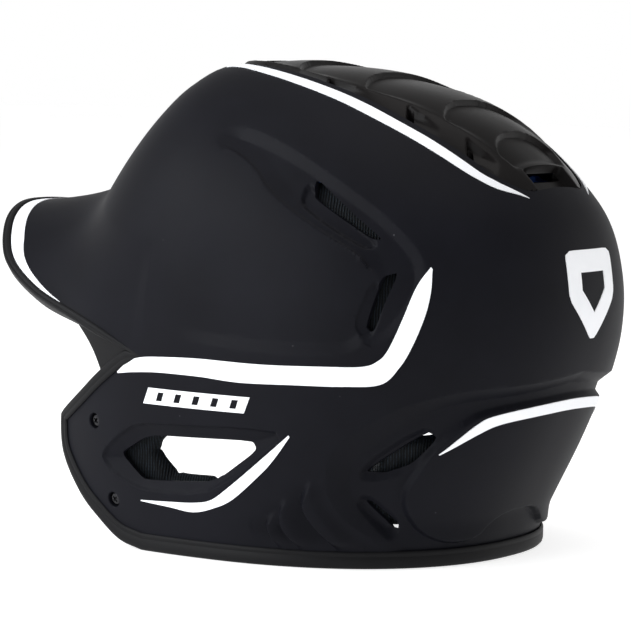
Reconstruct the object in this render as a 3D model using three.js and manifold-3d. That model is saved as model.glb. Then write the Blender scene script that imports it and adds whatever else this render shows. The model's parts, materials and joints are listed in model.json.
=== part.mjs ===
// Baseball batting helmet with two ear flaps and a short bill.
// The face looks along -Y, the wearer's left is +X and the rim rests on z = 0.
// All lengths are in millimetres.
import * as THREE from 'three';
import Module from 'manifold-3d';

const wasm = await Module();
wasm.setup();

// ---- driving dimensions ----
const WALL = 4;              // shell thickness
const GAP = 0.35;            // air gap between pieces that touch on the real helmet
const BROW_Z = 88;           // height of the notch where bill and ear flap meet
const NOTCH_ANGLE = -14;     // section angle of that notch, degrees
const REST_Z = 2.2;          // underside of the rim moulding, before the helmet is set down on z = 0
const RIM_Z = 8.5;           // height of the shell's lower edge, in the same measure
const FLAP_TRIM_DROP = 4.6;  // how far the moulding reaches past the flaps' front edge
const BILL_TRIM_DROP = 2.4;  // how far the moulding reaches past the bill's edge
const RIM_LIP = 2.4;         // how far the moulding's inner lip stands inside the shell
const BILL_LIP = 1.4;
const SQUARENESS = 2.25;     // exponent of the dome's horizontal sections
const STRIPE_THICKNESS = 0.6;
const STRIPE_LIFT = 0.45;
const LINER_OUT = 5.8;       // depth of the foam liner's outer face under the dome
const LINER_IN = 15;
const PAD_OUT = 16.6;        // depth of the comfort pads' outer face under the dome
const PAD_IN = 26;
const SCREW_R = 2;           // jaw-guard screw, M4
const SCREW_CLEARANCE = 0.05;
const SCREW_HEAD_R = 3;
const SCREW_HEAD_H = 1.5;
const ROUND_SEGMENTS = 16;

// The dome, level by level: height, half width, front y, rear y, widest y.
const LEVELS = [
  [215, 0, -6, -6, -6],
  [212, 30, -35, 34, -4],
  [203, 53, -49, 71, 0],
  [190, 71.5, -60, 98, 5],
  [172, 87.5, -72, 119.5, 9],
  [150, 99.5, -85, 138, 14],
  [125, 107, -97.5, 145, 18],
  [100, 108.5, -108, 145, 20],
  [75, 107, -116, 138.5, 20],
  [50, 104, -120, 128.5, 16],
  [25, 99, -121, 116.5, 12],
  [0, 92, -119, 105, 8],
];

// The bill's edge from the middle to the left notch, as x, y, z.
const BILL_EDGE = [
  [0, -146, 145.5],
  [26, -140.5, 143.5],
  [50, -129, 135.5],
  [71, -112, 122.5],
  [87, -85.5, 111],
  [99, -54, 102],
  [105.3, -17.2, 88],
];

// The ear flap's upper edge, from the notch forward, and its front edge, down to the rim, as y, z.
const FLAP_TOP = [[-17.2, BROW_Z], [-27, 84.5], [-42, 74.5], [-54, 65.5], [-68, 55.5]];
const FLAP_FRONT = [[-68, 55.5], [-66.5, 43], [-56, 28.5], [-45, 19], [-34, 11.5], [-22, RIM_Z]];

// Outlines on the wearer's left side, as y, z.
const EAR_HOLE = [[-33, 44], [-19, 52], [-12, 54], [38, 56], [40, 52], [22, 39], [14, 36], [-14, 34], [-20, 34]];
const EAR_POCKET = [[-41, 45], [-23, 57], [-15, 59], [34, 61], [54, 61], [40, 48], [28, 37], [12, 30], [-15, 29], [-26, 30]];
const SIDE_VENT_FRONT = [[55, 166], [54, 158], [57, 156], [77, 146], [84, 142], [90, 143], [58, 165.5]];
const SIDE_VENT_REAR = [[89, 128], [98, 130], [90, 106], [88, 105], [85, 107]];
const SIDE_CHANNEL = [
  [0, 187], [22, 186], [45, 178], [67, 167], [84, 157], [96, 147], [106, 134], [104, 120],
  [92, 100], [82, 104], [86, 119], [84, 136], [66, 148], [42, 158], [34, 165], [16, 178],
];
const REAR_VENT_UPPER = [[83, 45.5], [111, 66], [114, 60], [102, 48.5], [90, 45]];
const REAR_VENT_LOWER = [[80, 33], [86, 31.5], [93, 22], [92, 17.5], [88, 17.5]];

// Outlines on the crown, as x, y, on the wearer's left.
const CROWN_OPENING = [
  [0, -37], [15, -33], [27, -7], [36, 18], [43, 48], [45.5, 75], [43.5, 93], [38.5, 110],
  [32, 120], [22, 126], [0, 127],
];

// ---- small vector helpers ----
const V = (x, y, z) => new THREE.Vector3(x, y, z);
const radians = THREE.MathUtils.degToRad;
const clamp = THREE.MathUtils.clamp;
const lerp = THREE.MathUtils.lerp;
const smooth = (t) => THREE.MathUtils.smoothstep(t, 0, 1);
const signedPower = (v, e) => Math.sign(v) * Math.abs(v) ** e;

function catmull(a, b, c, d, t) {
  const linear = (c - a) * t;
  const square = (2 * a - 5 * b + 4 * c - d) * t * t;
  const cube = (3 * b - 3 * c + d - a) * t ** 3;
  return 0.5 * (2 * b + linear + square + cube);
}

// A smooth curve through rows of numbers; t runs from 0 to 1.
function through(rows, t, closed = false) {
  const spans = closed ? rows.length : rows.length - 1;
  const u = closed ? (t % 1) * spans : clamp(t, 0, 1) * spans;
  const i = closed ? Math.floor(u) % rows.length : Math.min(Math.floor(u), spans - 1);
  const pick = (k) => {
    if (closed) return rows[(k + rows.length) % rows.length];
    if (k < 0) return rows[0].map((v, c) => 2 * v - rows[1][c]);
    if (k > spans) return rows[spans].map((v, c) => 2 * v - rows[spans - 1][c]);
    return rows[k];
  };
  const [a, b, c, d] = [pick(i - 1), pick(i), pick(i + 1), pick(i + 2)];
  return b.map((_, k) => catmull(a[k], b[k], c[k], d[k], u - i));
}

// ---- the dome ----
function level(s) {
  const last = LEVELS.length - 1;
  const i = clamp(Math.floor(s), 0, last - 1);
  const first = LEVELS[1];
  const middle = LEVELS[0][4];
  const beyondPole = [first[0], -first[1], 2 * middle - first[2], 2 * middle - first[3], first[4]];
  const belowRim = LEVELS[last].map((v, k) => 2 * v - LEVELS[last - 1][k]);
  const row = (k) => (k < 0 ? beyondPole : k > last ? belowRim : LEVELS[k]);
  const [a, b, c, d] = [row(i - 1), row(i), row(i + 1), row(i + 2)];
  return b.map((_, k) => catmull(a[k], b[k], c[k], d[k], s - i));
}

function levelAtHeight(z) {
  let low = 0.2;
  let high = LEVELS.length - 1;
  for (let i = 0; i < 40; i += 1) {
    const middle = (low + high) / 2;
    if (level(middle)[0] > z) low = middle;
    else high = middle;
  }
  return (low + high) / 2;
}

function domePoint(s, angle) {
  const [z, half, front, rear, middle] = level(s);
  const x = half * signedPower(Math.cos(angle), 2 / SQUARENESS);
  const along = signedPower(Math.sin(angle), 2 / SQUARENESS);
  return V(x, middle + (along > 0 ? rear - middle : middle - front) * along, z);
}

// A point on the dome with its outward normal.
function dome(s, angle) {
  const p = domePoint(s, angle);
  const step = 0.02;
  const down = domePoint(s + step, angle).sub(domePoint(s - step, angle));
  const around = domePoint(s, angle + step).sub(domePoint(s, angle - step));
  const n = down.cross(around).normalize();
  return { p, n };
}

const domeAtHeight = (degrees, z) => dome(levelAtHeight(z), radians(degrees));

// The dome's left side at y, z.
function leftSide(y, z) {
  const s = levelAtHeight(z);
  const [, , front, rear, middle] = level(s);
  const reach = (y - middle) / (y > middle ? rear - middle : middle - front);
  return dome(s, Math.asin(clamp(signedPower(reach, SQUARENESS / 2), -0.999, 0.999)));
}

// The dome's back at x, z.
function back(x, z) {
  const s = levelAtHeight(z);
  return dome(s, Math.acos(clamp(signedPower(x / level(s)[1], SQUARENESS / 2), -0.999, 0.999)));
}

// The dome's top at x, y.
function top(x, y) {
  let low = 0.001;
  let high = 8;
  const ratios = (s) => {
    const [, half, front, rear, middle] = level(s);
    return [x / half, (y - middle) / (y > middle ? rear - middle : middle - front)];
  };
  for (let i = 0; i < 40; i += 1) {
    const s = (low + high) / 2;
    const [a, b] = ratios(s);
    if (Math.abs(a) ** SQUARENESS + Math.abs(b) ** SQUARENESS > 1) low = s;
    else high = s;
  }
  const [a, b] = ratios(low);
  return dome(low, Math.atan2(signedPower(b, SQUARENESS / 2), signedPower(a, SQUARENESS / 2)));
}

// ---- the bill ----
// f runs from -1 at the right notch, over 0 in the middle, to 1 at the left notch.
const billAngle = (f) => -90 + (90 + NOTCH_ANGLE) * f;

function billEdge(f) {
  const mirrored = [...BILL_EDGE.slice(1).reverse().map(([x, y, z]) => [-x, y, z]), ...BILL_EDGE];
  return V(...through(mirrored, (f + 1) / 2));
}

const FILLET_TOP_SIDE = 138;
const FILLET_TOP_FRONT = 169;

function billSurface(f, q) {
  const edge = billEdge(f);
  const centred = smooth(1 - Math.abs(f));
  const angle = billAngle(f);
  const start = domeAtHeight(angle, lerp(FILLET_TOP_SIDE, FILLET_TOP_FRONT, centred)).p;
  const root = domeAtHeight(angle, edge.z + 3 + 3 * centred).p;
  const p1 = start.clone().lerp(root, 0.72);
  const p2 = root.clone().lerp(edge, 0.3);
  const r = 1 - q;
  return V(0, 0, 0)
    .addScaledVector(start, r ** 3)
    .addScaledVector(p1, 3 * r * r * q)
    .addScaledVector(p2, 3 * r * q * q)
    .addScaledVector(edge, q ** 3);
}

function bill(f, q) {
  const step = 0.01;
  const p = billSurface(f, q);
  const across = billSurface(f + step, q).sub(billSurface(f - step, q));
  const outward = billSurface(f, q + step).sub(billSurface(f, q - step));
  return { p, n: outward.cross(across).normalize() };
}

// ---- sheets and solids ----
// A sheet is a list of surface points and faces; every face turns its front outward.
function grid(columns, rows, at, closed = false) {
  const points = [];
  const faces = [];
  for (let i = 0; i <= columns - (closed ? 1 : 0); i += 1) {
    for (let j = 0; j <= rows; j += 1) points.push(at(i / columns, j / rows));
  }
  const stride = rows + 1;
  const wrap = closed ? columns : columns + 1;
  for (let i = 0; i < columns; i += 1) {
    for (let j = 0; j < rows; j += 1) {
      const a = i * stride + j;
      const b = ((i + 1) % wrap) * stride + j;
      faces.push([a, a + 1, b + 1], [a, b + 1, b]);
    }
  }
  return { points, faces };
}

function weld(sheets) {
  const points = [];
  const faces = [];
  const seen = new Map();
  for (const sheet of sheets) {
    const renumber = sheet.points.map((point) => {
      const key = point.p.toArray().map((v) => Math.round(v * 100)).join();
      if (!seen.has(key)) {
        seen.set(key, points.length);
        points.push({ p: point.p.clone(), n: point.n.clone() });
      }
      return seen.get(key);
    });
    for (const face of sheet.faces) {
      const [a, b, c] = face.map((k) => renumber[k]);
      if (a !== b && b !== c && c !== a) faces.push([a, b, c]);
    }
  }
  return { points, faces };
}

function toManifold(points, triangles) {
  const vertProperties = new Float32Array(points.flatMap((p) => p.toArray()));
  const triVerts = new Uint32Array(triangles.flat());
  const mesh = new wasm.Mesh({ numProp: 3, vertProperties, triVerts });
  mesh.merge();
  const solid = new wasm.Manifold(mesh);
  if (solid.volume() >= 0) return solid;
  const turned = triangles.map(([a, b, c]) => [a, c, b]);
  return toManifold(points, turned);
}

// Gives a sheet thickness, from depth `outer` to depth `inner` under its surface.
function thicken(sheet, outer, inner) {
  const { points, faces } = weld([sheet]);
  const at = (depth) => points.map(({ p, n }) => p.clone().addScaledVector(n, -depth));
  const count = points.length;
  const all = [...at(outer), ...at(inner)];
  const triangles = [...faces];
  const edges = new Set();
  for (const [a, b, c] of faces) {
    triangles.push([a + count, c + count, b + count]);
    for (const [from, to] of [[a, b], [b, c], [c, a]]) edges.add(`${from} ${to}`);
  }
  for (const edge of edges) {
    const [from, to] = edge.split(' ').map(Number);
    if (edges.has(`${to} ${from}`)) continue;
    triangles.push([from, from + count, to + count], [from, to + count, to]);
  }
  return toManifold(all, triangles);
}

// A straight prism: a flat outline pushed along an axis.
function prism(outline, axis, from, to) {
  const shape = new THREE.Shape(outline.map(([a, b]) => new THREE.Vector2(a, b)));
  const ring = shape.getPoints();
  const turn = THREE.ShapeUtils.isClockWise(ring) ? ring.reverse() : ring;
  const caps = THREE.ShapeUtils.triangulateShape(turn, []);
  const place = { x: (a, b, h) => V(h, a, b), y: (a, b, h) => V(a, h, b), z: (a, b, h) => V(a, b, h) }[axis];
  const points = [];
  for (const h of [from, to]) points.push(...turn.map(({ x, y }) => place(x, y, h)));
  const n = turn.length;
  const triangles = [];
  for (const [a, b, c] of caps) triangles.push([a, c, b], [a + n, b + n, c + n]);
  for (let i = 0; i < n; i += 1) {
    const j = (i + 1) % n;
    triangles.push([i, j, j + n], [i, j + n, i + n]);
  }
  return toManifold(points, triangles);
}

const mirrorX = (solid) => solid.mirror([1, 0, 0]);
const bothSides = (solid) => solid.add(mirrorX(solid));
const rounded = (outline, count) => {
  const samples = [];
  for (let i = 0; i < count; i += 1) samples.push(through(outline, i / count, true));
  return samples;
};
const mirroredOutline = (half) => {
  const left = half.slice(1, -1).map(([x, y]) => [-x, y]).reverse();
  return [...half, ...left];
};

// A thin patch that follows the left side, cut to an outline in y, z.
function sidePatch(outline, outer, inner, spacing = 15) {
  const ys = outline.map(([y]) => y);
  const zs = outline.map(([, z]) => z);
  const [y0, y1] = [Math.min(...ys) - 3, Math.max(...ys) + 3];
  const [z0, z1] = [Math.min(...zs) - 3, Math.max(...zs) + 3];
  const columns = Math.max(3, Math.round((y1 - y0) / spacing));
  const rows = Math.max(3, Math.round((z1 - z0) / spacing));
  const sheet = grid(columns, rows, (u, v) => leftSide(lerp(y0, y1, u), lerp(z1, z0, v)));
  return thicken(sheet, outer, inner).intersect(prism(outline, 'x', 30, 140));
}

// ---- outer shell ----
const REAR_COLUMNS = 28;
const FRONT_COLUMNS = 20;
const DOME_ROWS = 7;
const LOWER_DOME_ROWS = 4;
const FLAP_ROWS = 5;
const FLAP_COLUMNS = 4;
const REAR_SWEEP = 180 - 2 * NOTCH_ANGLE;
const RIM_SWEEP = 190;

function rearUpper(u, v) {
  const angle = NOTCH_ANGLE + REAR_SWEEP * u;
  const split = DOME_ROWS / (DOME_ROWS + LOWER_DOME_ROWS);
  const knee = levelAtHeight(FILLET_TOP_SIDE);
  if (v <= split) return dome((knee * v) / split, radians(angle));
  const t = (v - split) / (1 - split);
  return dome(lerp(knee, levelAtHeight(BROW_Z), t), radians(angle));
}

function frontUpper(u, v) {
  const f = 1 - 2 * u;
  const split = DOME_ROWS / (DOME_ROWS + LOWER_DOME_ROWS);
  const centred = smooth(1 - Math.abs(f));
  const knee = levelAtHeight(lerp(FILLET_TOP_SIDE, FILLET_TOP_FRONT, centred));
  if (v <= split) return dome((knee * v) / split, radians(billAngle(f)));
  const q = (v - split) / (1 - split);
  if (Math.abs(f) > 0.999) return rearUpper(f > 0 ? 0 : 1, v);
  return bill(f, q);
}

function rearLower(u, v) {
  const angleAtBrow = NOTCH_ANGLE + REAR_SWEEP * u;
  const angleAtRim = 90 + RIM_SWEEP * (u - 0.5);
  const s = lerp(levelAtHeight(BROW_Z), levelAtHeight(RIM_Z), v);
  return dome(s, radians(lerp(angleAtBrow, angleAtRim, v)));
}

// The flap in front of the notch, blended between its four edges; u runs forward from the notch.
function flapFront(u, v) {
  if (u === 0) return rearLower(0, v);
  const column = rearLower(0, v).p;
  const columnFoot = rearLower(0, 1).p;
  const topEdge = through(FLAP_TOP, u);
  const frontEdge = through(FLAP_FRONT, v);
  const toe = FLAP_FRONT[FLAP_FRONT.length - 1];
  const blend = (k, side, foot) => {
    const rim = lerp(foot, toe[k], u);
    const ruled = lerp(topEdge[k], rim, v) + lerp(side, frontEdge[k], u);
    return ruled - lerp(lerp(FLAP_TOP[0][k], FLAP_FRONT[0][k], u), rim, v);
  };
  return leftSide(blend(0, column.y, columnFoot.y), blend(1, column.z, columnFoot.z));
}

const mirrorPoint = ({ p, n }) => ({ p: V(-p.x, p.y, p.z), n: V(-n.x, n.y, n.z) });
const upperRows = DOME_ROWS + LOWER_DOME_ROWS;
const flapSheet = grid(FLAP_COLUMNS, FLAP_ROWS, (u, v) => flapFront(1 - u, v));
const shellSheet = weld([
  grid(REAR_COLUMNS, upperRows, rearUpper),
  grid(FRONT_COLUMNS, upperRows, (u, v) => frontUpper(1 - u, v)),
  grid(REAR_COLUMNS, FLAP_ROWS, rearLower),
  flapSheet,
  {
    points: flapSheet.points.map(mirrorPoint),
    faces: flapSheet.faces.map(([a, b, c]) => [a, c, b]),
  },
]);

// A tool made of rings stacked along an axis, used for round cuts and turned parts.
function turned(profile, origin, axis) {
  const ringPoints = profile.map(([r, h]) => {
    if (r === 0) return [V(0, h, 0)];
    const ring = [];
    for (let i = 0; i < ROUND_SEGMENTS; i += 1) {
      const a = (2 * Math.PI * i) / ROUND_SEGMENTS;
      ring.push(V(r * Math.cos(a), h, r * Math.sin(a)));
    }
    return ring;
  });
  const quaternion = new THREE.Quaternion().setFromUnitVectors(V(0, 1, 0), axis);
  const starts = [];
  const points = [];
  for (const ring of ringPoints) {
    starts.push(points.length);
    points.push(...ring.map((p) => p.applyQuaternion(quaternion).add(origin)));
  }
  const triangles = [];
  const closed = profile[0][0] !== 0;
  const spans = closed ? profile.length : profile.length - 1;
  for (let k = 0; k < spans; k += 1) {
    const m = (k + 1) % profile.length;
    const [one, two] = [profile[k][0] === 0, profile[m][0] === 0];
    for (let i = 0; i < ROUND_SEGMENTS; i += 1) {
      const j = (i + 1) % ROUND_SEGMENTS;
      const [a, b] = one ? [starts[k], starts[k]] : [starts[k] + i, starts[k] + j];
      const [c, d] = two ? [starts[m], starts[m]] : [starts[m] + i, starts[m] + j];
      if (!one) triangles.push([a, b, c]);
      if (!two) triangles.push([b, d, c]);
    }
  }
  return toManifold(points, triangles);
}

// Jaw-guard screws: where each axis meets the left flap, as y, z.
const SCREWS = { upper: [-46.5, 57], lower: [-37, 23] };
const SEAT_R = 6.5;
const SEAT_DEPTH = 0.6;
const HEAD_RECESS = 2;
const BARREL_R = 2.8;
const screwFrame = ([y, z]) => {
  const { p, n } = leftSide(y, z);
  return { p, n };
};

function screwCut(place) {
  const { p, n } = screwFrame(place);
  const recess = -(SEAT_DEPTH + HEAD_RECESS);
  return turned(
    [[0, 6], [SEAT_R, 6], [SEAT_R, -SEAT_DEPTH], [SCREW_HEAD_R + 0.4, -SEAT_DEPTH],
      [SCREW_HEAD_R + 0.4, recess], [BARREL_R + 0.25, recess], [BARREL_R + 0.25, -9], [0, -9]],
    p, n,
  );
}

const crownOutline = rounded(mirroredOutline(CROWN_OPENING), 28);
const plainShell = thicken(shellSheet, 0, WALL);
let shell = plainShell;
const sideCuts = [
  prism(EAR_HOLE, 'x', 60, 130),
  sidePatch(EAR_POCKET, -6, 1.8),
  sidePatch(SIDE_CHANNEL, -6, 2),
  prism(SIDE_VENT_FRONT, 'x', 60, 130),
  prism(SIDE_VENT_REAR, 'x', 60, 130),
  prism(REAR_VENT_UPPER, 'x', 45, 130),
  prism(REAR_VENT_LOWER, 'x', 45, 130),
  screwCut(SCREWS.upper),
  screwCut(SCREWS.lower),
];
for (const cut of sideCuts) shell = shell.subtract(bothSides(cut));
shell = shell.subtract(prism(crownOutline, 'z', 130, 260));

// The one moulding is held as four solids, so that each keeps its own open collision shape.
const BILL_CUT_Y = -86;
const FLAP_CUT_Z = 78;
const FLAP_CUT_Y = 68;
const block = (low, high) => wasm.Manifold.cube(high.map((v, k) => v - low[k])).translate(low);
const billShell = shell.trimByPlane([0, -1, 0], -BILL_CUT_Y);
const behindBill = shell.trimByPlane([0, 1, 0], BILL_CUT_Y + GAP);
const flapShell = behindBill.intersect(block([0, -100, 0], [150, FLAP_CUT_Y, FLAP_CUT_Z]));
const flapRoom = block([-150, -100, 0], [150, FLAP_CUT_Y + GAP, FLAP_CUT_Z + GAP]);
const crownShell = behindBill.subtract(flapRoom);

// ---- crown vent panel ----
const PANEL_FLANGE = 3;
const PANEL_WALL = 2.6;
const PANEL_FRONT = -41;
const PANEL_REAR = 130.5;

function openingHalfWidth(y) {
  for (let i = 1; i < CROWN_OPENING.length; i += 1) {
    const [x0, y0] = CROWN_OPENING[i - 1];
    const [x1, y1] = CROWN_OPENING[i];
    if (y <= y1) return lerp(x0, x1, clamp((y - y0) / (y1 - y0), 0, 1));
  }
  return 0;
}

function panelPoint(u, v) {
  const y = lerp(PANEL_FRONT, PANEL_REAR, v);
  const flank = PANEL_FLANGE + openingHalfWidth(clamp(y, -34, 120));
  const x = lerp(-1, 1, u) * Math.max(14, flank);
  const { p, n } = top(x, y);
  const inside = Math.min(openingHalfWidth(y) - Math.abs(x), y + 37, 127 - y);
  const depth = lerp(WALL + 1.3, 0, smooth((inside - 3) / 11));
  return { p: p.addScaledVector(n, -depth), n };
}

const panelSheet = grid(10, 14, (u, v) => panelPoint(1 - u, v));
let crownPanel = thicken(panelSheet, 0, PANEL_WALL);
const SLOT_ROWS = [[2, 18], [28, 45], [58, 74], [88, 103]];
for (const [y0, y1] of SLOT_ROWS) {
  const near = (y) => openingHalfWidth(y) - 2.5;
  const far = (y) => openingHalfWidth(y) - 8;
  const slot = prism([[near(y0), y0], [near(y1), y1], [far(y1), y1], [far(y0) + 2, y0]], 'z', 120, 240);
  crownPanel = crownPanel.subtract(bothSides(slot));
}
crownPanel = crownPanel.subtract(prism([[-13, 117], [13, 117], [15, 123], [-15, 123]], 'z', 120, 240));

// ---- edge moulding ----
// Sweeps a profile of [along normal, past edge] pairs along points with frames.
function sweep(stations, profileAt) {
  const n = profileAt(stations[0]).length;
  const points = [];
  const triangles = [];
  for (const station of stations) {
    for (const [a, b] of profileAt(station)) {
      points.push(station.p.clone().addScaledVector(station.n, a).addScaledVector(station.e, b));
    }
  }
  const section = profileAt(stations[0]).map(([a, b]) => new THREE.Vector2(a, b));
  const cap = THREE.ShapeUtils.triangulateShape(section, []);
  const end = (stations.length - 1) * n;
  for (const [a, b, c] of cap) triangles.push([a, c, b], [a + end, b + end, c + end]);
  for (let k = 0; k < stations.length - 1; k += 1) {
    for (let i = 0; i < n; i += 1) {
      const j = (i + 1) % n;
      const [a, b] = [k * n + i, k * n + j];
      triangles.push([a, b, b + n], [a, b + n, a + n]);
    }
  }
  return toManifold(points, triangles);
}

function lipProfile(drop, lip) {
  const lipIn = -(WALL + lip);
  return [
    [0.4, GAP], [0.6, drop * 0.6], [-0.4, drop], [lipIn, drop], [lipIn, -4],
    [-(WALL + 0.5), -4], [-(WALL + 0.5), GAP],
  ];
}

const BILL_STATIONS = FRONT_COLUMNS;
const billStations = [];
for (let i = 0; i <= BILL_STATIONS; i += 1) {
  const f = 1 - (2 * i) / BILL_STATIONS;
  const { p, n } = bill(clamp(f, -0.98, 0.98), 0.985);
  const edge = billEdge(f);
  const tangent = billEdge(Math.min(f + 0.02, 1)).sub(billEdge(Math.max(f - 0.02, -1))).normalize();
  n.addScaledVector(tangent, -n.dot(tangent)).normalize();
  const e = V(0, 0, 0).crossVectors(tangent, n).normalize();
  if (e.dot(edge.clone().sub(p)) < 0) e.negate();
  billStations.push({ p: edge, n, e });
}

// The free edge of flaps and nape, from the left notch round to the right notch.
const rimPath = [];
const RIM_STATIONS = REAR_COLUMNS;
for (let i = 0; i <= FLAP_COLUMNS; i += 1) rimPath.push(flapFront(i / FLAP_COLUMNS, 0));
for (let j = 1; j <= FLAP_ROWS; j += 1) rimPath.push(flapFront(1, j / FLAP_ROWS));
for (let i = FLAP_COLUMNS - 1; i > 0; i -= 1) rimPath.push(flapFront(i / FLAP_COLUMNS, 1));
const halfPath = [...rimPath];
for (let i = 0; i <= RIM_STATIONS; i += 1) rimPath.push(rearLower(i / RIM_STATIONS, 1));
rimPath.push(...halfPath.reverse().map(mirrorPoint));

const rimStations = rimPath.map(({ p, n }, k) => {
  const before = rimPath[Math.max(k - 1, 0)].p;
  const after = rimPath[Math.min(k + 1, rimPath.length - 1)].p;
  const flat = V(n.x, n.y, 0).normalize();
  const into = p.clone().sub(before).normalize();
  const out = after.clone().sub(p).normalize();
  const eIn = V(0, 0, 0).crossVectors(k === 0 ? out : into, flat).normalize();
  const eOut = V(0, 0, 0).crossVectors(k === rimPath.length - 1 ? into : out, flat).normalize();
  const e = eIn.clone().add(eOut).normalize();
  return { p: p.clone(), n: flat, e: e.multiplyScalar(1 / Math.max(e.dot(eIn), 0.6)) };
});

// The web that closes the corner between bill and flap.
function cornerWeb() {
  const alongBill = billEdge(0.76);
  const alongFlap = flapFront(0.45, 0).p;
  const notch = billEdge(0.985);
  const outward = V(0, 0, 0).crossVectors(alongBill.clone().sub(notch), alongFlap.clone().sub(notch)).normalize();
  if (outward.x < 0) outward.negate();
  const bulge = alongBill.clone().lerp(alongFlap, 0.5).lerp(notch, 0.14);
  const corner = [notch, alongBill, bulge, alongFlap];
  const faces = corner.map((p) => p.clone().addScaledVector(outward, -0.9));
  const backs = corner.map((p) => p.clone().addScaledVector(outward, -3.9));
  const triangles = [[0, 1, 2], [0, 2, 3], [4, 6, 5], [4, 7, 6]];
  for (let i = 0; i < 4; i += 1) {
    const j = (i + 1) % 4;
    triangles.push([i, i + 4, j + 4], [i, j + 4, j]);
  }
  return toManifold([...faces, ...backs], triangles);
}

const webs = bothSides(cornerWeb());
let edgeMoulding = sweep(billStations, () => lipProfile(BILL_TRIM_DROP, BILL_LIP));
const rimDrop = ({ e }) => lerp(FLAP_TRIM_DROP, RIM_Z - REST_Z, clamp(-e.z, 0, 1) ** 2);
edgeMoulding = edgeMoulding.add(sweep(rimStations, (station) => lipProfile(rimDrop(station), RIM_LIP)));
edgeMoulding = edgeMoulding.add(webs);
for (const place of Object.values(SCREWS)) {
  const { p, n } = leftSide(...place);
  const relief = turned([[0, -2], [6.2, -2], [6.2, -14], [0, -14]], p, n);
  edgeMoulding = edgeMoulding.subtract(bothSides(relief));
}
edgeMoulding = edgeMoulding.subtract(thicken(shellSheet, -GAP, WALL + GAP));
for (const shift of [[0, -GAP, 0], [0, 0, -GAP]]) edgeMoulding = edgeMoulding.subtract(plainShell.translate(shift));
edgeMoulding = edgeMoulding.trimByPlane([0, 0, 1], REST_Z);

// ---- stripes ----
// A stripe lies between two curves; each is a list of pairs read by `surface`.
function stripe(surface, upper, lower, columns, rows = 1) {
  const sheet = grid(columns, rows, (u, v) => {
    const a = through(upper, u);
    const b = through(lower, u);
    return surface(lerp(a[0], b[0], v), lerp(a[1], b[1], v));
  });
  return thicken(sheet, -(STRIPE_LIFT + STRIPE_THICKNESS), -STRIPE_LIFT);
}

const sideStripe = stripe(
  leftSide,
  [[-29, 79.6], [-15, 87], [15, 89.3], [45, 89.5], [72, 90], [88, 92], [96, 99], [102, 112], [106, 124], [109, 132]],
  [[-28, 79], [-10, 81.7], [15, 82.3], [45, 81.5], [72, 81.5], [93, 83], [103, 92], [108, 104], [110, 118], [110, 131]],
  20,
);
const earStripe = stripe(
  leftSide,
  [[-19, 25.5], [-4, 25.6], [9, 26.5], [19, 30], [38, 44], [55, 58.5]],
  [[-19, 24.2], [-5, 22.8], [9, 22], [21, 25], [42, 41], [56, 58]],
  12,
);
const crownStripe = stripe(
  top,
  [[25, -29], [38.5, -2], [47, 24], [52, 47], [54.5, 68], [53, 87], [49, 104], [44, 114], [38, 120], [28, 127]],
  [[19, -31], [31, -6], [40, 19], [46.5, 48], [49.5, 74], [47.5, 92], [43, 109], [38, 117], [33, 122], [27, 127.5]],
  18,
);
const rearStripe = stripe(
  back,
  [[62, 56], [55, 64], [46, 69.5], [27, 72], [0, 73], [-27, 72], [-46, 69.5], [-55, 64], [-62, 56]],
  [[61, 54.5], [53, 60], [44, 65], [25, 67.5], [0, 68.5], [-25, 67.5], [-44, 65], [-53, 60], [-61, 54.5]],
  18,
);

const BILL_STRIPE_INSET = 3;
const BILL_STRIPE_WIDTH = 6;
const billStripe = thicken(
  grid(24, 1, (u, v) => {
    const f = lerp(-0.72, 0.72, u);
    const taper = smooth((0.72 - Math.abs(f)) / 0.3);
    const inset = BILL_STRIPE_INSET + v * lerp(0.6, BILL_STRIPE_WIDTH, taper);
    const edge = billSurface(f, 1);
    const reach = edge.distanceTo(billSurface(f, 0.8)) / 0.2;
    return bill(f, 1 - inset / reach);
  }),
  -(STRIPE_LIFT + STRIPE_THICKNESS), -STRIPE_LIFT,
);

// ---- plain marks ----
function backPatch(outline, outer, inner) {
  const sheet = grid(6, 4, (u, v) => back(lerp(32, -32, u), lerp(145, 92, v)));
  return thicken(sheet, outer, inner).intersect(prism(outline, 'y', 60, 170));
}

const PLATE = [[-20.5, 138.5], [20.5, 138.5], [20.5, 118], [0, 98.5], [-20.5, 118]];
const PLATE_WINDOW = [[-10.5, 129], [10.5, 129], [10.5, 121.5], [0, 111.5], [-10.5, 121.5]];
const markOuter = -(STRIPE_LIFT + STRIPE_THICKNESS);
const rearMark = backPatch(PLATE, markOuter, -STRIPE_LIFT).subtract(prism(PLATE_WINDOW, 'y', 60, 170));

const FLAP_BAR = [[-15, 68], [37, 68], [40, 75], [-12, 75]];
let flapMark = sidePatch(FLAP_BAR, markOuter, -STRIPE_LIFT);
for (let k = 0; k < 5; k += 1) {
  const y = -8 + 9.5 * k;
  flapMark = flapMark.subtract(prism([[y, 69.6], [y + 3.2, 69.6], [y + 4.6, 73.4], [y + 1.4, 73.4]], 'x', 60, 140));
}

// ---- foam liner and comfort pads ----
// A block that follows the dome between two angles and two height curves.
function domeBlock(fromAngle, toAngle, topZ, bottomZ, outer, inner, columns, rows) {
  const sheet = grid(columns, rows, (u, v) => {
    const angle = lerp(fromAngle, toAngle, u);
    return domeAtHeight(angle, lerp(topZ(angle), bottomZ(angle), v));
  });
  return thicken(sheet, outer, inner);
}

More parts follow.
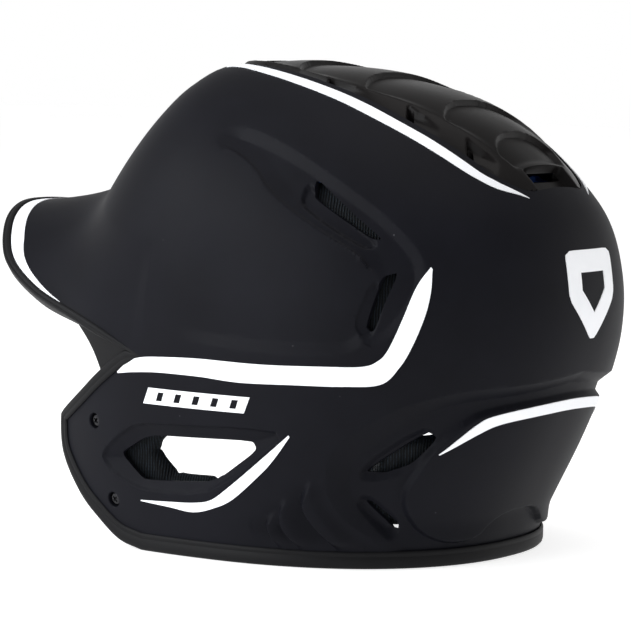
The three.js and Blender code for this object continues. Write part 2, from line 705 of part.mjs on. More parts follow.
const constant = (value) => () => value;
const browHeight = (angle) => {
  const f = clamp(Math.abs(angle + 90) / 75, 0, 1);
  return billEdge(f).z - 2;
};
const linerTop = constant(171);
const frontLiner = domeBlock(-148, -32, constant(180), (a) => browHeight(a) + 1, LINER_OUT, LINER_IN, 12, 3);
const browPad = domeBlock(-142, -38, constant(174), browHeight, PAD_OUT, PAD_IN, 10, 3);
const sideLiner = domeBlock(-22, 55, linerTop, constant(98), LINER_OUT, LINER_IN, 7, 5);
const templePad = domeBlock(-22, 8, constant(158), constant(101), PAD_OUT, PAD_IN, 3, 4);
const sidePad = domeBlock(12, 51, constant(158), constant(101), PAD_OUT, PAD_IN, 4, 4);
const rearLinerWing = (angle) => clamp((Math.abs(angle - 90) - 25.4) / 9.5, 0, 1);
const rearLinerTop = (angle) => lerp(146, 76, rearLinerWing(angle));
const rearLiner = domeBlock(52, 128, rearLinerTop, constant(61), LINER_OUT, LINER_IN, 6, 6);
const rearPad = domeBlock(65, 115, constant(136), constant(76), PAD_OUT, PAD_IN, 5, 4);
const napePad = domeBlock(43, 137, constant(57), constant(15), LINER_OUT + 1.5, LINER_OUT + 15, 8, 3);

const CROWN_LINER = [[0, -28], [26, -22], [40, 8], [47, 40], [47, 68], [34, 88], [0, 94]];
const CROWN_PAD = [[0, -24], [26, -18], [38, 10], [42, 40], [36, 70], [0, 82]];
function crownBlock(outline, outer, inner) {
  const sheet = grid(5, 7, (u, v) => top(lerp(52, -52, u), lerp(-34, 100, v)));
  return thicken(sheet, outer, inner).intersect(prism(rounded(mirroredOutline(outline), 18), 'z', 120, 230));
}
const crownLiner = crownBlock(CROWN_LINER, WALL + PANEL_WALL + 2.2, WALL + PANEL_WALL + 12);
const crownUnder = WALL + PANEL_WALL + 12.6;
const CROWN_PAD_FACE_Z = 180;
const crownPad = crownBlock(CROWN_PAD, crownUnder, 60).subtract(
  prism([[-80, -80], [80, -80], [80, 150], [-80, 150]], 'z', 60, CROWN_PAD_FACE_Z),
);

const EAR_PAD = [
  [-20, 82], [-57, 57], [-54, 40], [-40, 25], [-24, 15], [34, 15], [48, 30], [58, 58], [60, 82],
];
const EAR_PAD_HOLE = [[-20, 42], [-12, 52], [-6, 56], [38, 58], [44, 50], [30, 40], [14, 33], [-12, 32]];
const earPad = sidePatch(EAR_PAD, LINER_OUT + 1, LINER_OUT + 14, 24).subtract(prism(EAR_PAD_HOLE, 'x', 40, 140));

// ---- jaw-guard hardware ----
const nutRelief = (place) => {
  const { p, n } = screwFrame(place);
  return turned([[0, -3], [7, -3], [7, -16], [0, -16]], p, n);
};
const flapPad = earPad.subtract(nutRelief(SCREWS.upper)).subtract(nutRelief(SCREWS.lower));

function screw(place) {
  const { p, n } = screwFrame(place);
  const floor = -(SEAT_DEPTH + HEAD_RECESS) + 0.1;
  const head = floor + SCREW_HEAD_H;
  const tip = -11.5;
  const body = turned(
    [[0, head], [SCREW_HEAD_R - 0.5, head], [SCREW_HEAD_R, head - 0.5], [SCREW_HEAD_R, floor],
      [SCREW_R, floor], [SCREW_R, tip + 0.6], [SCREW_R - 0.6, tip], [0, tip]],
    p, n,
  );
  const arm = new THREE.BoxGeometry(3.6, 2, 0.8);
  const quaternion = new THREE.Quaternion().setFromUnitVectors(V(0, 1, 0), n);
  const centre = p.clone().addScaledVector(n, head);
  let driven = body;
  for (const quarter of [0, Math.PI / 2]) {
    const bar = arm.clone().rotateY(quarter).applyQuaternion(quaternion).translate(...centre);
    driven = driven.subtract(fromGeometry(bar));
  }
  return driven;
}

function nut(place) {
  const { p, n } = screwFrame(place);
  const bore = SCREW_R + SCREW_CLEARANCE;
  const flange = -(WALL + 0.5);
  return turned(
    [[bore, -2.9], [BARREL_R, -2.9], [BARREL_R, flange], [5.5, flange], [5.5, flange - 1.2],
      [3.4, flange - 1.2], [3.4, flange - 5], [bore, flange - 5]],
    p, n,
  );
}

function fromGeometry(geometry) {
  const position = geometry.getAttribute('position');
  const points = [];
  for (let i = 0; i < position.count; i += 1) points.push(V(0, 0, 0).fromBufferAttribute(position, i));
  const sheet = weld([{
    points: points.map((p) => ({ p, n: V(0, 0, 1) })),
    faces: Array.from({ length: geometry.index.count / 3 }, (_, k) => [0, 1, 2].map((c) => geometry.index.getX(3 * k + c))),
  }]);
  return toManifold(sheet.points.map(({ p }) => p), sheet.faces);
}

// ---- materials and assembly ----
const material = (color, roughness, metalness = 0) => new THREE.MeshStandardMaterial({ color, roughness, metalness });
const shellBlack = material(0x17181b, 0.55);
const panelBlack = material(0x1c1a1b, 0.4);
const rubberBlack = material(0x121214, 0.7);
const stripeWhite = material(0xf0f1f4, 0.45);
const foamBlue = material(0x1d3f9a, 0.9);
const meshFabric = material(0x1b1d22, 0.95);
const blackSteel = material(0x18181a, 0.35, 0.9);
const zincSteel = material(0xb4b6ba, 0.3, 1);

const helmet = new THREE.Group();
helmet.name = 'batting_helmet';

function add(name, solid, look) {
  const mesh = solid.getMesh();
  const geometry = new THREE.BufferGeometry();
  geometry.setAttribute('position', new THREE.BufferAttribute(new Float32Array(mesh.vertProperties), 3));
  geometry.setIndex(Array.from(mesh.triVerts));
  const node = new THREE.Mesh(geometry, look);
  node.name = name;
  helmet.add(node);
}

function addPair(name, solid, look) {
  add(`${name}_left`, solid, look);
  add(`${name}_right`, mirrorX(solid), look);
}

add('outer_shell', crownShell, shellBlack);
add('bill', billShell, shellBlack);
addPair('ear_flap', flapShell, shellBlack);
add('crown_vent_panel', crownPanel, panelBlack);
add('edge_moulding', edgeMoulding, rubberBlack);
addPair('crown_stripe', crownStripe, stripeWhite);
addPair('side_stripe', sideStripe, stripeWhite);
addPair('ear_stripe', earStripe, stripeWhite);
add('rear_stripe', rearStripe, stripeWhite);
add('bill_stripe', billStripe, stripeWhite);
add('rear_mark', rearMark, stripeWhite);
addPair('flap_mark', flapMark, stripeWhite);
add('front_foam_liner', frontLiner, foamBlue);
addPair('side_foam_liner', sideLiner, foamBlue);
add('rear_foam_liner', rearLiner, foamBlue);
add('crown_foam_liner', crownLiner, foamBlue);
add('brow_pad', browPad, meshFabric);
addPair('temple_pad', templePad, meshFabric);
addPair('side_pad', sidePad, meshFabric);
add('rear_pad', rearPad, meshFabric);
add('nape_pad', napePad, meshFabric);
add('crown_pad', crownPad, meshFabric);
addPair('ear_pad', flapPad, meshFabric);
for (const [name, place] of Object.entries(SCREWS)) {
  addPair(`jaw_guard_screw_${name}`, screw(place), blackSteel);
  addPair(`jaw_guard_nut_${name}`, nut(place), zincSteel);
}

// The helmet stands on z = 0 with the middle of its length at y = 0.
const extent = new THREE.Box3().setFromObject(helmet);
helmet.position.set(0, -(extent.min.y + extent.max.y) / 2, -REST_Z);

export default helmet;
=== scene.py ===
import json
import math

import bmesh
import bpy
import numpy as np
from mathutils import Matrix, Vector


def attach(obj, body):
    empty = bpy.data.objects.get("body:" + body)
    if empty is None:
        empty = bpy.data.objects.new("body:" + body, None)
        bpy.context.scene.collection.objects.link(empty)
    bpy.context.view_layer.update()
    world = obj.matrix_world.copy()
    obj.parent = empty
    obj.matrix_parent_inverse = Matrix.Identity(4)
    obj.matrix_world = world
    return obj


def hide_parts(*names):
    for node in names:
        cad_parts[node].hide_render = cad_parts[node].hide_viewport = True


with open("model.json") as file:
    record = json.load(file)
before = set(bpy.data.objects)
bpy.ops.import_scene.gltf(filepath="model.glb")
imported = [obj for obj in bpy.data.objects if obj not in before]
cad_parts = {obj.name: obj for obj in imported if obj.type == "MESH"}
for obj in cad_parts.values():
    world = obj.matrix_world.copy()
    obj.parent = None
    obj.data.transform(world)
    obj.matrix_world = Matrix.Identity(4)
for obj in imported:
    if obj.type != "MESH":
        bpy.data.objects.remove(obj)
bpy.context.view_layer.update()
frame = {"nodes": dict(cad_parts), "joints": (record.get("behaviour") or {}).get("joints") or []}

# A batting helmet. Shapes are worked out in millimetres from the same driving dimensions as the
# CAD, and written to meshes in metres in the row frame: face along -Y, wearer's left on +X.
MM = 0.001
REST_Z = 2.2
RIM_Z = 8.5
BACK_SHIFT = 0.852
OFFSET = np.array([0.0, BACK_SHIFT, -REST_Z])
FLIP = np.array([-1, 1, 1])
WALL = 4.0
THIN_WALL = 1.8
BROW_Z = 88.0
NOTCH_ANGLE = -14.0
SQUARENESS = 2.25
FILLET_TOP_SIDE = 138.0
FILLET_TOP_FRONT = 169.0
FLAP_TRIM_DROP = 4.6
BILL_TRIM_DROP = 2.4

# The dome, level by level: height, half width, front y, rear y, widest y.
LEVELS = np.array([
    [215, 0, -6, -6, -6],
    [212, 30, -35, 34, -4],
    [203, 53, -49, 71, 0],
    [190, 71.5, -60, 98, 5],
    [172, 87.5, -72, 119.5, 9],
    [150, 99.5, -85, 138, 14],
    [125, 107, -97.5, 145, 18],
    [100, 108.5, -108, 145, 20],
    [75, 107, -116, 138.5, 20],
    [50, 104, -120, 128.5, 16],
    [25, 99, -121, 116.5, 12],
    [0, 92, -119, 105, 8],
], float)
BEYOND_POLE = np.array([212, -30, 23, -46, -4], float)

# The bill's edge from the middle to the left notch, as x, y, z.
BILL_EDGE = [
    [0, -146, 145.5], [26, -140.5, 143.5], [50, -129, 135.5], [71, -112, 122.5],
    [87, -85.5, 111], [99, -54, 102], [105.3, -17.2, 88],
]
FLAP_TOP = [[-17.2, BROW_Z], [-27, 84.5], [-42, 74.5], [-54, 65.5], [-68, 55.5]]
FLAP_FRONT = [[-68, 55.5], [-66.5, 43], [-56, 28.5], [-45, 19], [-34, 11.5], [-22, RIM_Z]]

# Openings and relief on the wearer's left, as y, z.
EAR_HOLE = [[-33, 44], [-19, 52], [-12, 54], [38, 56], [40, 52], [22, 39], [14, 36], [-14, 34], [-20, 34]]
EAR_POCKET = [
    [-42, 43], [-41.6, 40], [-36, 35], [-23, 30], [-15, 29], [12, 30], [28, 38], [40, 48], [57, 61],
    [34, 62], [15, 61], [-6.5, 60], [-19.5, 59], [-30, 53.6], [-38.6, 47],
]
SIDE_VENT_FRONT = [[56, 166], [57, 159], [60, 157], [85, 143], [90, 143], [59, 165]]
SIDE_VENT_REAR = [[92, 128], [98, 130], [91, 106], [89, 105], [87, 107]]
REAR_VENT_UPPER = [[80.5, 45], [104, 63], [107.5, 60], [97.5, 48.5], [88, 44.5]]
REAR_VENT_LOWER = [[79, 32.2], [82, 31.8], [89, 22], [88.5, 19.5], [86, 20]]

# Outline of the crown opening on the wearer's left, as x, y.
CROWN_OPENING = [
    [0, -37], [15, -33], [27, -7], [36, 18], [43, 48], [45.5, 75], [43.5, 93], [38.5, 110],
    [32, 120], [22, 126], [0, 127],
]


# ---- surface of the helmet ----
def spline(rows, s, before=None, after=None):
    """Catmull-Rom curve through rows; s counts rows."""
    rows = np.asarray(rows, float)
    first = 2 * rows[0] - rows[1] if before is None else before
    last = 2 * rows[-1] - rows[-2] if after is None else after
    padded = np.vstack([first, rows, last])
    s = np.asarray(s, float)
    i = np.clip(np.floor(s).astype(int), 0, len(rows) - 2)
    t = (s - i)[..., None]
    a, b, c, d = padded[i], padded[i + 1], padded[i + 2], padded[i + 3]
    square = 2 * a - 5 * b + 4 * c - d
    cube = 3 * b - 3 * c + d - a
    return 0.5 * (2 * b + (c - a) * t + square * t ** 2 + cube * t ** 3)


def through(rows, t):
    return spline(rows, np.clip(t, 0, 1) * (len(rows) - 1))


def lerp(a, b, t):
    return a + (b - a) * t


def smooth(t):
    t = np.clip(t, 0, 1)
    return t * t * (3 - 2 * t)


def power(v, e):
    return np.sign(v) * np.abs(v) ** e


def level(s):
    return spline(LEVELS, s, before=BEYOND_POLE)


_level_steps = np.linspace(0.2, 11.3, 4000)
_level_heights = level(_level_steps)[:, 0]


def level_at(z):
    return np.interp(-np.asarray(z, float), -_level_heights, _level_steps)


def dome_point(s, angle):
    z, half, front, rear, middle = np.moveaxis(level(s), -1, 0)
    x = half * power(np.cos(angle), 2 / SQUARENESS)
    along = power(np.sin(angle), 2 / SQUARENESS)
    y = middle + np.where(along > 0, rear - middle, middle - front) * along
    return np.stack(np.broadcast_arrays(x, y, z), -1)


def unit(v):
    return v / np.maximum(np.linalg.norm(v, axis=-1, keepdims=True), 1e-9)


def dome(s, angle):
    """Points on the dome with their outward normals."""
    s, angle = np.broadcast_arrays(np.asarray(s, float), np.asarray(angle, float))
    step = 0.02
    down = dome_point(s + step, angle) - dome_point(s - step, angle)
    around = dome_point(s, angle + step) - dome_point(s, angle - step)
    return dome_point(s, angle), unit(np.cross(down, around))


def reach_of(s, y):
    _, _, front, rear, middle = np.moveaxis(level(s), -1, 0)
    return (y - middle) / np.where(y > middle, rear - middle, middle - front)


def left_side(y, z):
    y, z = np.broadcast_arrays(np.asarray(y, float), np.asarray(z, float))
    s = level_at(z)
    return dome(s, np.arcsin(np.clip(power(reach_of(s, y), SQUARENESS / 2), -0.999, 0.999)))


def back(x, z):
    x, z = np.broadcast_arrays(np.asarray(x, float), np.asarray(z, float))
    s = level_at(z)
    return dome(s, np.arccos(np.clip(power(x / level(s)[..., 1], SQUARENESS / 2), -0.999, 0.999)))


def top(x, y):
    x, y = np.broadcast_arrays(np.asarray(x, float), np.asarray(y, float))
    low = np.full(x.shape, 0.001)
    high = np.full(x.shape, 8.0)
    for _ in range(32):
        s = (low + high) / 2
        a, b = x / level(s)[..., 1], reach_of(s, y)
        outside = np.abs(a) ** SQUARENESS + np.abs(b) ** SQUARENESS > 1
        low = np.where(outside, s, low)
        high = np.where(outside, high, s)
    a, b = x / level(low)[..., 1], reach_of(low, y)
    return dome(low, np.arctan2(power(b, SQUARENESS / 2), power(a, SQUARENESS / 2)))


def bill_angle(f):
    return -90 + (90 + NOTCH_ANGLE) * f


BILL_RING = [[-x, y, z] for x, y, z in BILL_EDGE[:0:-1]] + BILL_EDGE


def bill_edge(f):
    return spline(BILL_RING, (np.clip(f, -1, 1) + 1) / 2 * (len(BILL_RING) - 1))


def bill_point(f, q):
    edge = bill_edge(f)
    centred = smooth(1 - np.abs(f))
    angle = np.radians(bill_angle(f))
    start = dome_point(level_at(lerp(FILLET_TOP_SIDE, FILLET_TOP_FRONT, centred)), angle)
    root = dome_point(level_at(edge[..., 2] + 3 + 3 * centred), angle)
    q = np.asarray(q, float)[..., None]
    r = 1 - q
    p1, p2 = lerp(start, root, 0.72), lerp(root, edge, 0.3)
    return start * r ** 3 + p1 * 3 * r * r * q + p2 * 3 * r * q * q + edge * q ** 3


def bill(f, q):
    f, q = np.broadcast_arrays(np.asarray(f, float), np.asarray(q, float))
    step = 0.01
    across = bill_point(f + step, q) - bill_point(f - step, q)
    outward = bill_point(f, q + step) - bill_point(f, q - step)
    return bill_point(f, q), unit(np.cross(outward, across))


# ---- relief: how far the real surface stands above (+) or below (-) the plain dome ----
ROUND = 112.0


def unroll(p):
    """Distance round the helmet and height, for points on either side."""
    p = np.asarray(p, float)
    return np.stack([ROUND * np.arctan2(p[..., 1] - 20, np.abs(p[..., 0])), p[..., 2]], -1)


def on_side(outline):
    """An outline in y, z on the left side, as points on the dome."""
    outline = np.asarray(outline, float)
    return left_side(outline[:, 0], outline[:, 1])[0]


def segment_distance(q, line):
    a, b = line[:-1], line[1:]
    ab = b - a
    t = np.clip(((q[:, None] - a) * ab).sum(-1) / (ab ** 2).sum(-1), 0, 1)
    return np.linalg.norm(q[:, None] - a - t[..., None] * ab, axis=-1).min(1)


def inside(q, ring):
    a, b = ring, np.roll(ring, -1, axis=0)
    u, v = q[:, :1], q[:, 1:]
    crosses = (a[:, 1] > v) != (b[:, 1] > v)
    rise = np.where(np.abs(b[:, 1] - a[:, 1]) < 1e-9, 1e-9, b[:, 1] - a[:, 1])
    return (crosses & (u < (b[:, 0] - a[:, 0]) * (v - a[:, 1]) / rise + a[:, 0])).sum(1) % 2 == 1


def chaikin(outline, rounds=3, closed=True, cut=0.25):
    ring = np.asarray(outline, float)
    for _ in range(rounds):
        following = np.roll(ring, -1, axis=0) if closed else ring[1:]
        start = ring if closed else ring[:-1]
        cuts = np.stack([lerp(start, following, cut), lerp(start, following, 1 - cut)], 1)
        cuts = cuts.reshape(-1, ring.shape[1])
        ring = cuts if closed else np.vstack([ring[:1], cuts, ring[-1:]])
    return ring


def close(ring):
    return np.vstack([ring, ring[:1]])


CHANNEL_OUTER = [
    [77, 1, 185], [75, 9, 187], [75, 22, 186], [80, 45, 178], [83, 67, 167], [82, 84, 157],
    [81, 93, 150], [80, 102, 142], [79, 107, 135], [81, 110, 124], [88, 104, 108], [94, 95, 98],
]
CHANNEL_INNER = [
    [0, 180], [15, 177], [29, 170], [38, 161], [77, 140], [86, 134], [88, 128], [86, 118], [83, 110],
    [84, 102],
]
PANEL_LOW = [
    [106, -26, 109], [106, -12, 105], [108, 15, 101], [108, 40, 99.5], [104, 62, 99], [99, 79, 100],
    [97, 83, 102], [96, 87, 106], [93, 94, 118], [89, 99, 130],
]
LEDGE_OUTER = [
    [0, 142, 86], [19, 140, 84], [43, 134, 82], [65, 122, 81], [75, 112, 78], [84, 100, 74],
    [91, 85, 64], [94, 75, 56], [93.5, 71, 49], [92, 69.5, 43], [91, 69, 37], [88, 70, 31],
    [84, 74, 24], [77, 79, 18], [68, 86, 10], [60, 92, 2],
]
LEDGE_INNER = [
    [0, 138, 77], [20, 136, 75.5], [38, 133, 74], [58, 123, 72.5], [70, 113, 69], [77, 105, 63],
    [84, 91, 52], [87, 83, 46], [86, 81, 39], [82, 82, 31], [75, 85, 24], [67, 89, 17], [58, 95, 8],
    [52, 99, 2],
]
LOW_PANEL = [
    [0, 136, 75.6], [27, 135, 74.4], [50, 127, 72], [60, 121, 68.5], [69, 112, 57.5], [71, 105, 49.5],
    [71, 101, 44], [71.5, 98, 40], [72, 96, 35], [70, 94.5, 29], [66, 95, 23], [59, 97, 16],
    [48, 100, 12], [38, 104, 11], [28, 109, 12.5], [22, 112, 17], [12, 115, 21], [0, 116, 21.5],
]
SWOOSHES = [
    [
        [94, 63, 43], [94, 60, 37], [94, 58, 31], [93, 58.5, 27], [90, 60.5, 22], [87, 64, 17],
        [82, 69, 11], [78, 74, 5],
    ],
    [
        [96, 53, 35], [95.5, 49, 29], [95, 48, 24], [94, 48.5, 20], [92, 50.5, 16], [89, 54, 11],
        [86, 58, 5],
    ],
    [[96.5, 48, 29], [96, 43.5, 24], [95, 42, 20], [94, 43, 15.5], [92, 46, 11], [89, 50, 5]],
]


def soft_line(points, rounds=2):
    return chaikin(unroll(points), rounds, closed=False)


def soft_ring(outline):
    return chaikin(unroll(on_side(outline)), 1)


channel_outer = soft_line(CHANNEL_OUTER)
channel_inner = soft_line(on_side(CHANNEL_INNER))
channel_ring = np.vstack([channel_outer, channel_inner[::-1]])
pocket_ring = soft_ring(EAR_POCKET)
ear_ring = soft_ring(EAR_HOLE)
panel_low = soft_line(PANEL_LOW)
ledge_outer = soft_line(LEDGE_OUTER)
ledge_inner = soft_line(LEDGE_INNER)
swooshes = [soft_line(line) for line in SWOOSHES]

# Rings that go on past the middle of the back close behind it.
BEHIND = ROUND * math.pi / 2 + 30


def ring_behind(line, top_z, low_z):
    return np.vstack([[[BEHIND, top_z]], line, [[BEHIND, low_z]]])


low_panel = chaikin(ring_behind(unroll(LOW_PANEL), 75, 21.5), 1)
ledge_ring = ring_behind(ledge_outer, 86, 2)
ledge_floor = ring_behind(ledge_inner, 77, 2)

VENT_BEVELS = [
    [[54, 165], [54, 158], [58, 155], [83, 141], [88, 141], [86, 144], [58, 162]],
    [[90, 127], [85, 111], [85, 106], [88, 103], [91, 105], [94, 120]],
]
REAR_BEVEL_SHIFT = [3.6, -2.2]
vent_bevels = [soft_ring(outline) for outline in VENT_BEVELS]
rear_bevels = [chaikin(unroll(on_side(outline)) + REAR_BEVEL_SHIFT, 1)
               for outline in (REAR_VENT_UPPER, REAR_VENT_LOWER)]
VENT_BEVEL = 1.5
VENT_BEVEL_DEPTH = 1.5
REAR_BEVEL = 3.4
REAR_BEVEL_DEPTH = 2.4

CHANNEL_DEPTH = 2.1
CHANNEL_CREASE = 0.9
CHANNEL_SLOPE = 6.0
POCKET_DEPTH = 3.0
POCKET_CREASE = 0.9
POCKET_CREASE_WIDTH = 1.1
POCKET_SLOPE = 7.0
LEDGE_DEPTH = 4.4
LEDGE_FLARE = 13.0
LOW_PANEL_RISE = 2.9
LOW_PANEL_STEP = 2.6
SWOOSH_RISE = 3.2
SWOOSH_DIP = 1.5
SWOOSH_FACE = 1.9
SWOOSH_TAILS = (15.0, 10.5, 10.5)
SIDE_PANEL_DEPTH = 2.1


def bevel(part, ring, width):
    """1 inside the ring, falling to 0 at width outside it."""
    outside = np.clip(1 - segment_distance(part, close(ring)) / width, 0, 1)
    return np.where(inside(part, ring), 1, outside)


def side_relief(part):
    """The curved channel with the side vents' bevels, and the side panel set in beside it."""
    to_outer = segment_distance(part, channel_outer)
    to_inner = segment_distance(part, channel_inner)
    width = to_outer + to_inner + 1e-6
    slope = 0.5 + 0.5 * (to_inner - CHANNEL_CREASE) / np.minimum(CHANNEL_SLOPE, 0.5 * width)
    inner_wall = np.minimum(0.5 * to_inner / CHANNEL_CREASE, slope)
    fall = np.minimum(to_outer / np.minimum(4.5, 0.4 * width), inner_wall)
    ends = smooth((width - 2.5) / 7) * smooth((part[:, 1] - 96) / 12) * smooth((part[:, 0] + 28) / 20)
    within = inside(part, channel_ring)
    channel = np.where(within, CHANNEL_DEPTH * ends * np.clip(fall, 0, 1), 0)
    for ring in vent_bevels:
        channel = channel + VENT_BEVEL_DEPTH * bevel(part, ring, VENT_BEVEL)

    beside = channel_inner[(channel_inner[:, 1] > 131) & (channel_inner[:, 1] < 152)][::-1]
    field = np.vstack([panel_low, beside, [[-60, 152], [-60, 109]]])
    beyond = segment_distance(part, panel_low)
    set_in = np.where(inside(part, field), 1, np.clip(1 - beyond / 5, 0, 1))
    fade = smooth((part[:, 0] + 22) / 26) * smooth((150 - part[:, 1]) / 30) * smooth((96 - part[:, 0]) / 14)
    return -np.maximum(channel, SIDE_PANEL_DEPTH * set_in * fade)


def ear_relief(part):
    """The pocket round the ear hole, with a crease along its edge."""
    to_pocket = segment_distance(part, close(pocket_ring))
    to_hole = segment_distance(part, close(ear_ring))
    slope = np.where(inside(part, ear_ring), 1, to_pocket / (to_pocket + to_hole + 1e-6))
    slope = np.maximum(slope, np.clip(to_pocket / POCKET_SLOPE, 0, 1))
    crease = POCKET_CREASE * np.clip(to_pocket / POCKET_CREASE_WIDTH, 0, 1)
    return -np.where(inside(part, pocket_ring), POCKET_DEPTH * slope + crease, 0)


def rear_relief(part):
    """The ledge round the lower back, the raised panel on it and the rear vents' bevels."""
    to_outer = segment_distance(part, ledge_outer)
    to_inner = segment_distance(part, ledge_inner)
    slope = np.clip(1.35 * to_outer / (to_outer + to_inner + 1e-6), 0, 1)
    drop = np.where(inside(part, ledge_floor), 1, np.where(inside(part, ledge_ring), slope, 0))
    flare = lerp(0.2, 1, smooth((part[:, 1] - RIM_Z) / LEDGE_FLARE))
    rise = smooth(segment_distance(part, close(low_panel)) / LOW_PANEL_STEP)
    height = np.where(inside(part, low_panel), LOW_PANEL_RISE * rise, 0) - LEDGE_DEPTH * drop * flare
    for ring in rear_bevels:
        height = height - REAR_BEVEL_DEPTH * bevel(part, ring, REAR_BEVEL)
    return height


def ripple_relief(part):
    """Three ripples behind the flap, each a sharp face with a long tail."""
    total = np.zeros(len(part))
    dip = np.zeros(len(part))
    for line, tail in zip(swooshes, SWOOSH_TAILS):
        far = [[line[-1, 0] + 40, line[-1, 1]], [line[0, 0] + 40, line[0, 1]]]
        after = inside(part, np.vstack([line, far]))
        d = segment_distance(part, line)
        bump = np.clip(d / SWOOSH_FACE, 0, 1) * (1 - smooth((d - SWOOSH_FACE) / tail))
        tip = smooth((line[0, 1] - part[:, 1]) / 12)
        total = np.maximum(total, np.where(after, bump * tip, 0))
        foot = np.where(after, np.clip(1 - d / SWOOSH_FACE, 0, 1), np.clip(1 - d / 9, 0, 1))
        dip = np.maximum(dip, foot * tip)
    to_ledge = segment_distance(part, ledge_outer)
    on_ledge = np.where(inside(part, ledge_ring), smooth(to_ledge / 3), 0)
    clear = smooth((to_ledge - 1) / 7) * smooth((part[:, 1] - RIM_Z) / 8)
    return (SWOOSH_RISE * total - SWOOSH_DIP * dip) * (1 - on_ledge) * clear


# Where each relief acts: distance round from and to, height from and to.
RELIEFS = [
    (side_relief, -30, 130, 90, 192), (ear_relief, -math.inf, 50, 22, 70),
    (rear_relief, 35, math.inf, -math.inf, 95), (ripple_relief, 18, 75, -math.inf, 50),
]


def relief(p):
    q = unroll(p).reshape(-1, 2)
    height = np.zeros(len(q))
    for shape_of, first, last, low, high in RELIEFS:
        near = (q[:, 0] > first) & (q[:, 0] < last) & (q[:, 1] > low) & (q[:, 1] < high)
        height[near] += shape_of(q[near])
    return height.reshape(p.shape[:-1])


def raised(p, n, lift):
    return p + n * (relief(p) + lift)[..., None]


# ---- meshes ----
def grid_faces(columns, rows):
    a = np.arange(columns)[:, None] * (rows + 1) + np.arange(rows)[None, :]
    return np.stack([a, a + 1, a + rows + 2, a + rows + 1], -1).reshape(-1, 4)


def grid_sheet(us, vs, at):
    u, v = np.meshgrid(us, vs, indexing="ij")
    p, n = at(u, v)
    return p.reshape(-1, 3), n.reshape(-1, 3), grid_faces(len(us) - 1, len(vs) - 1)


def weld(sheets, grain=0.02):
    points = np.vstack([s[0] for s in sheets])
    normals = np.vstack([s[1] for s in sheets])
    starts = np.cumsum([0] + [len(s[0]) for s in sheets])
    faces = np.vstack([s[2] + start for s, start in zip(sheets, starts)])
    keys = np.round(points / grain).astype(np.int64)
    _, first, number = np.unique(keys, axis=0, return_index=True, return_inverse=True)
    return points[first], normals[first], number.reshape(-1)[faces]


def free_edges(faces, count):
    a = faces.reshape(-1)
    b = np.roll(faces, -1, axis=1).reshape(-1)
    a, b = a[a != b], b[a != b]
    free = ~np.isin(a * count + b, b * count + a)
    return a[free], b[free]


def closed_solid(outer, inner, faces):
    """Two skins with the same faces, joined by walls along their free edges."""
    count = len(outer)
    a, b = free_edges(faces, count)
    walls = np.stack([b, a, a + count, b + count], -1)
    return np.vstack([outer, inner]), np.vstack([faces, faces[:, ::-1] + count, walls])


def tidy_face(face):
    return list(dict.fromkeys(face))


def link(name, mesh):
    obj = bpy.data.objects.new(name, mesh)
    bpy.context.scene.collection.objects.link(obj)
    return obj


def make(name, points, faces):
    mesh = bpy.data.meshes.new(name)
    lists = faces.tolist() if isinstance(faces, np.ndarray) else faces
    lists = [f for f in map(tidy_face, lists) if len(f) > 2]
    mesh.from_pydata(((np.asarray(points) + OFFSET) * MM).tolist(), [], lists)
    work = bmesh.new()
    work.from_mesh(mesh)
    if work.calc_volume(signed=True) < 0:
        bmesh.ops.reverse_faces(work, faces=work.faces)
    work.to_mesh(mesh)
    work.free()
    return link(name, mesh)


def settle(obj, modifier):
    with bpy.context.temp_override(object=obj, active_object=obj, selected_objects=[obj]):
        bpy.ops.object.modifier_apply(modifier=modifier.name)


def carve(obj, cutter, operation="DIFFERENCE", solver="MANIFOLD"):
    modifier = obj.modifiers.new("cut", "BOOLEAN")
    modifier.operation = operation
    modifier.solver = solver
    modifier.object = cutter
    settle(obj, modifier)
    bpy.data.objects.remove(cutter)
    return obj


def prism_parts(outline, axis, low, high):
    outline = np.asarray(outline, float)
    area = np.sum(outline[:, 0] * np.roll(outline[:, 1], -1) - np.roll(outline[:, 0], -1) * outline[:, 1])
    if area < 0:
        outline = outline[::-1]
    n = len(outline)
    points = []
    for h in (low, high):
        for a, b in outline:
            points.append({"x": (h, a, b), "y": (a, h, b), "z": (a, b, h)}[axis])
    faces = [list(range(n))[::-1], list(range(n, 2 * n))]
    faces += [[i, (i + 1) % n, n + (i + 1) % n, n + i] for i in range(n)]
    return np.array(points, float), faces


def joined(parts, name="cutter"):
    points, faces, start = [], [], 0
    for part_points, part_faces in parts:
        points.append(part_points)
        faces += [[k + start for k in face] for face in part_faces]
        start += len(part_points)
    obj = make(name, np.vstack(points), faces)
    work = bmesh.new()
    work.from_mesh(obj.data)
    bmesh.ops.recalc_face_normals(work, faces=work.faces)
    work.to_mesh(obj.data)
    work.free()
    return obj


def mirrored(parts):
    return [(p * FLIP, [face[::-1] for face in f]) for p, f in parts]


def lathe_parts(profile, origin, axis, segments=48):
    """A solid turned about axis; profile rows are radius and height, from pole to pole."""
    axis = Vector(axis).normalized()
    turn = Vector((0, 0, 1)).rotation_difference(axis).to_matrix()
    points, faces, rings = [], [], []
    for r, h in profile:
        if r == 0:
            rings.append([len(points)])
            points.append(Vector((0, 0, h)))
        else:
            rings.append(list(range(len(points), len(points) + segments)))
            for k in range(segments):
                a = 2 * math.pi * k / segments
                points.append(Vector((r * math.cos(a), r * math.sin(a), h)))
    for one, two in zip(rings, rings[1:]):
        for k in range(segments):
            m = (k + 1) % segments
            faces.append([one[k % len(one)], one[m % len(one)], two[m % len(two)], two[k % len(two)]])
    return np.array([list(turn @ p + Vector(origin)) for p in points]), faces


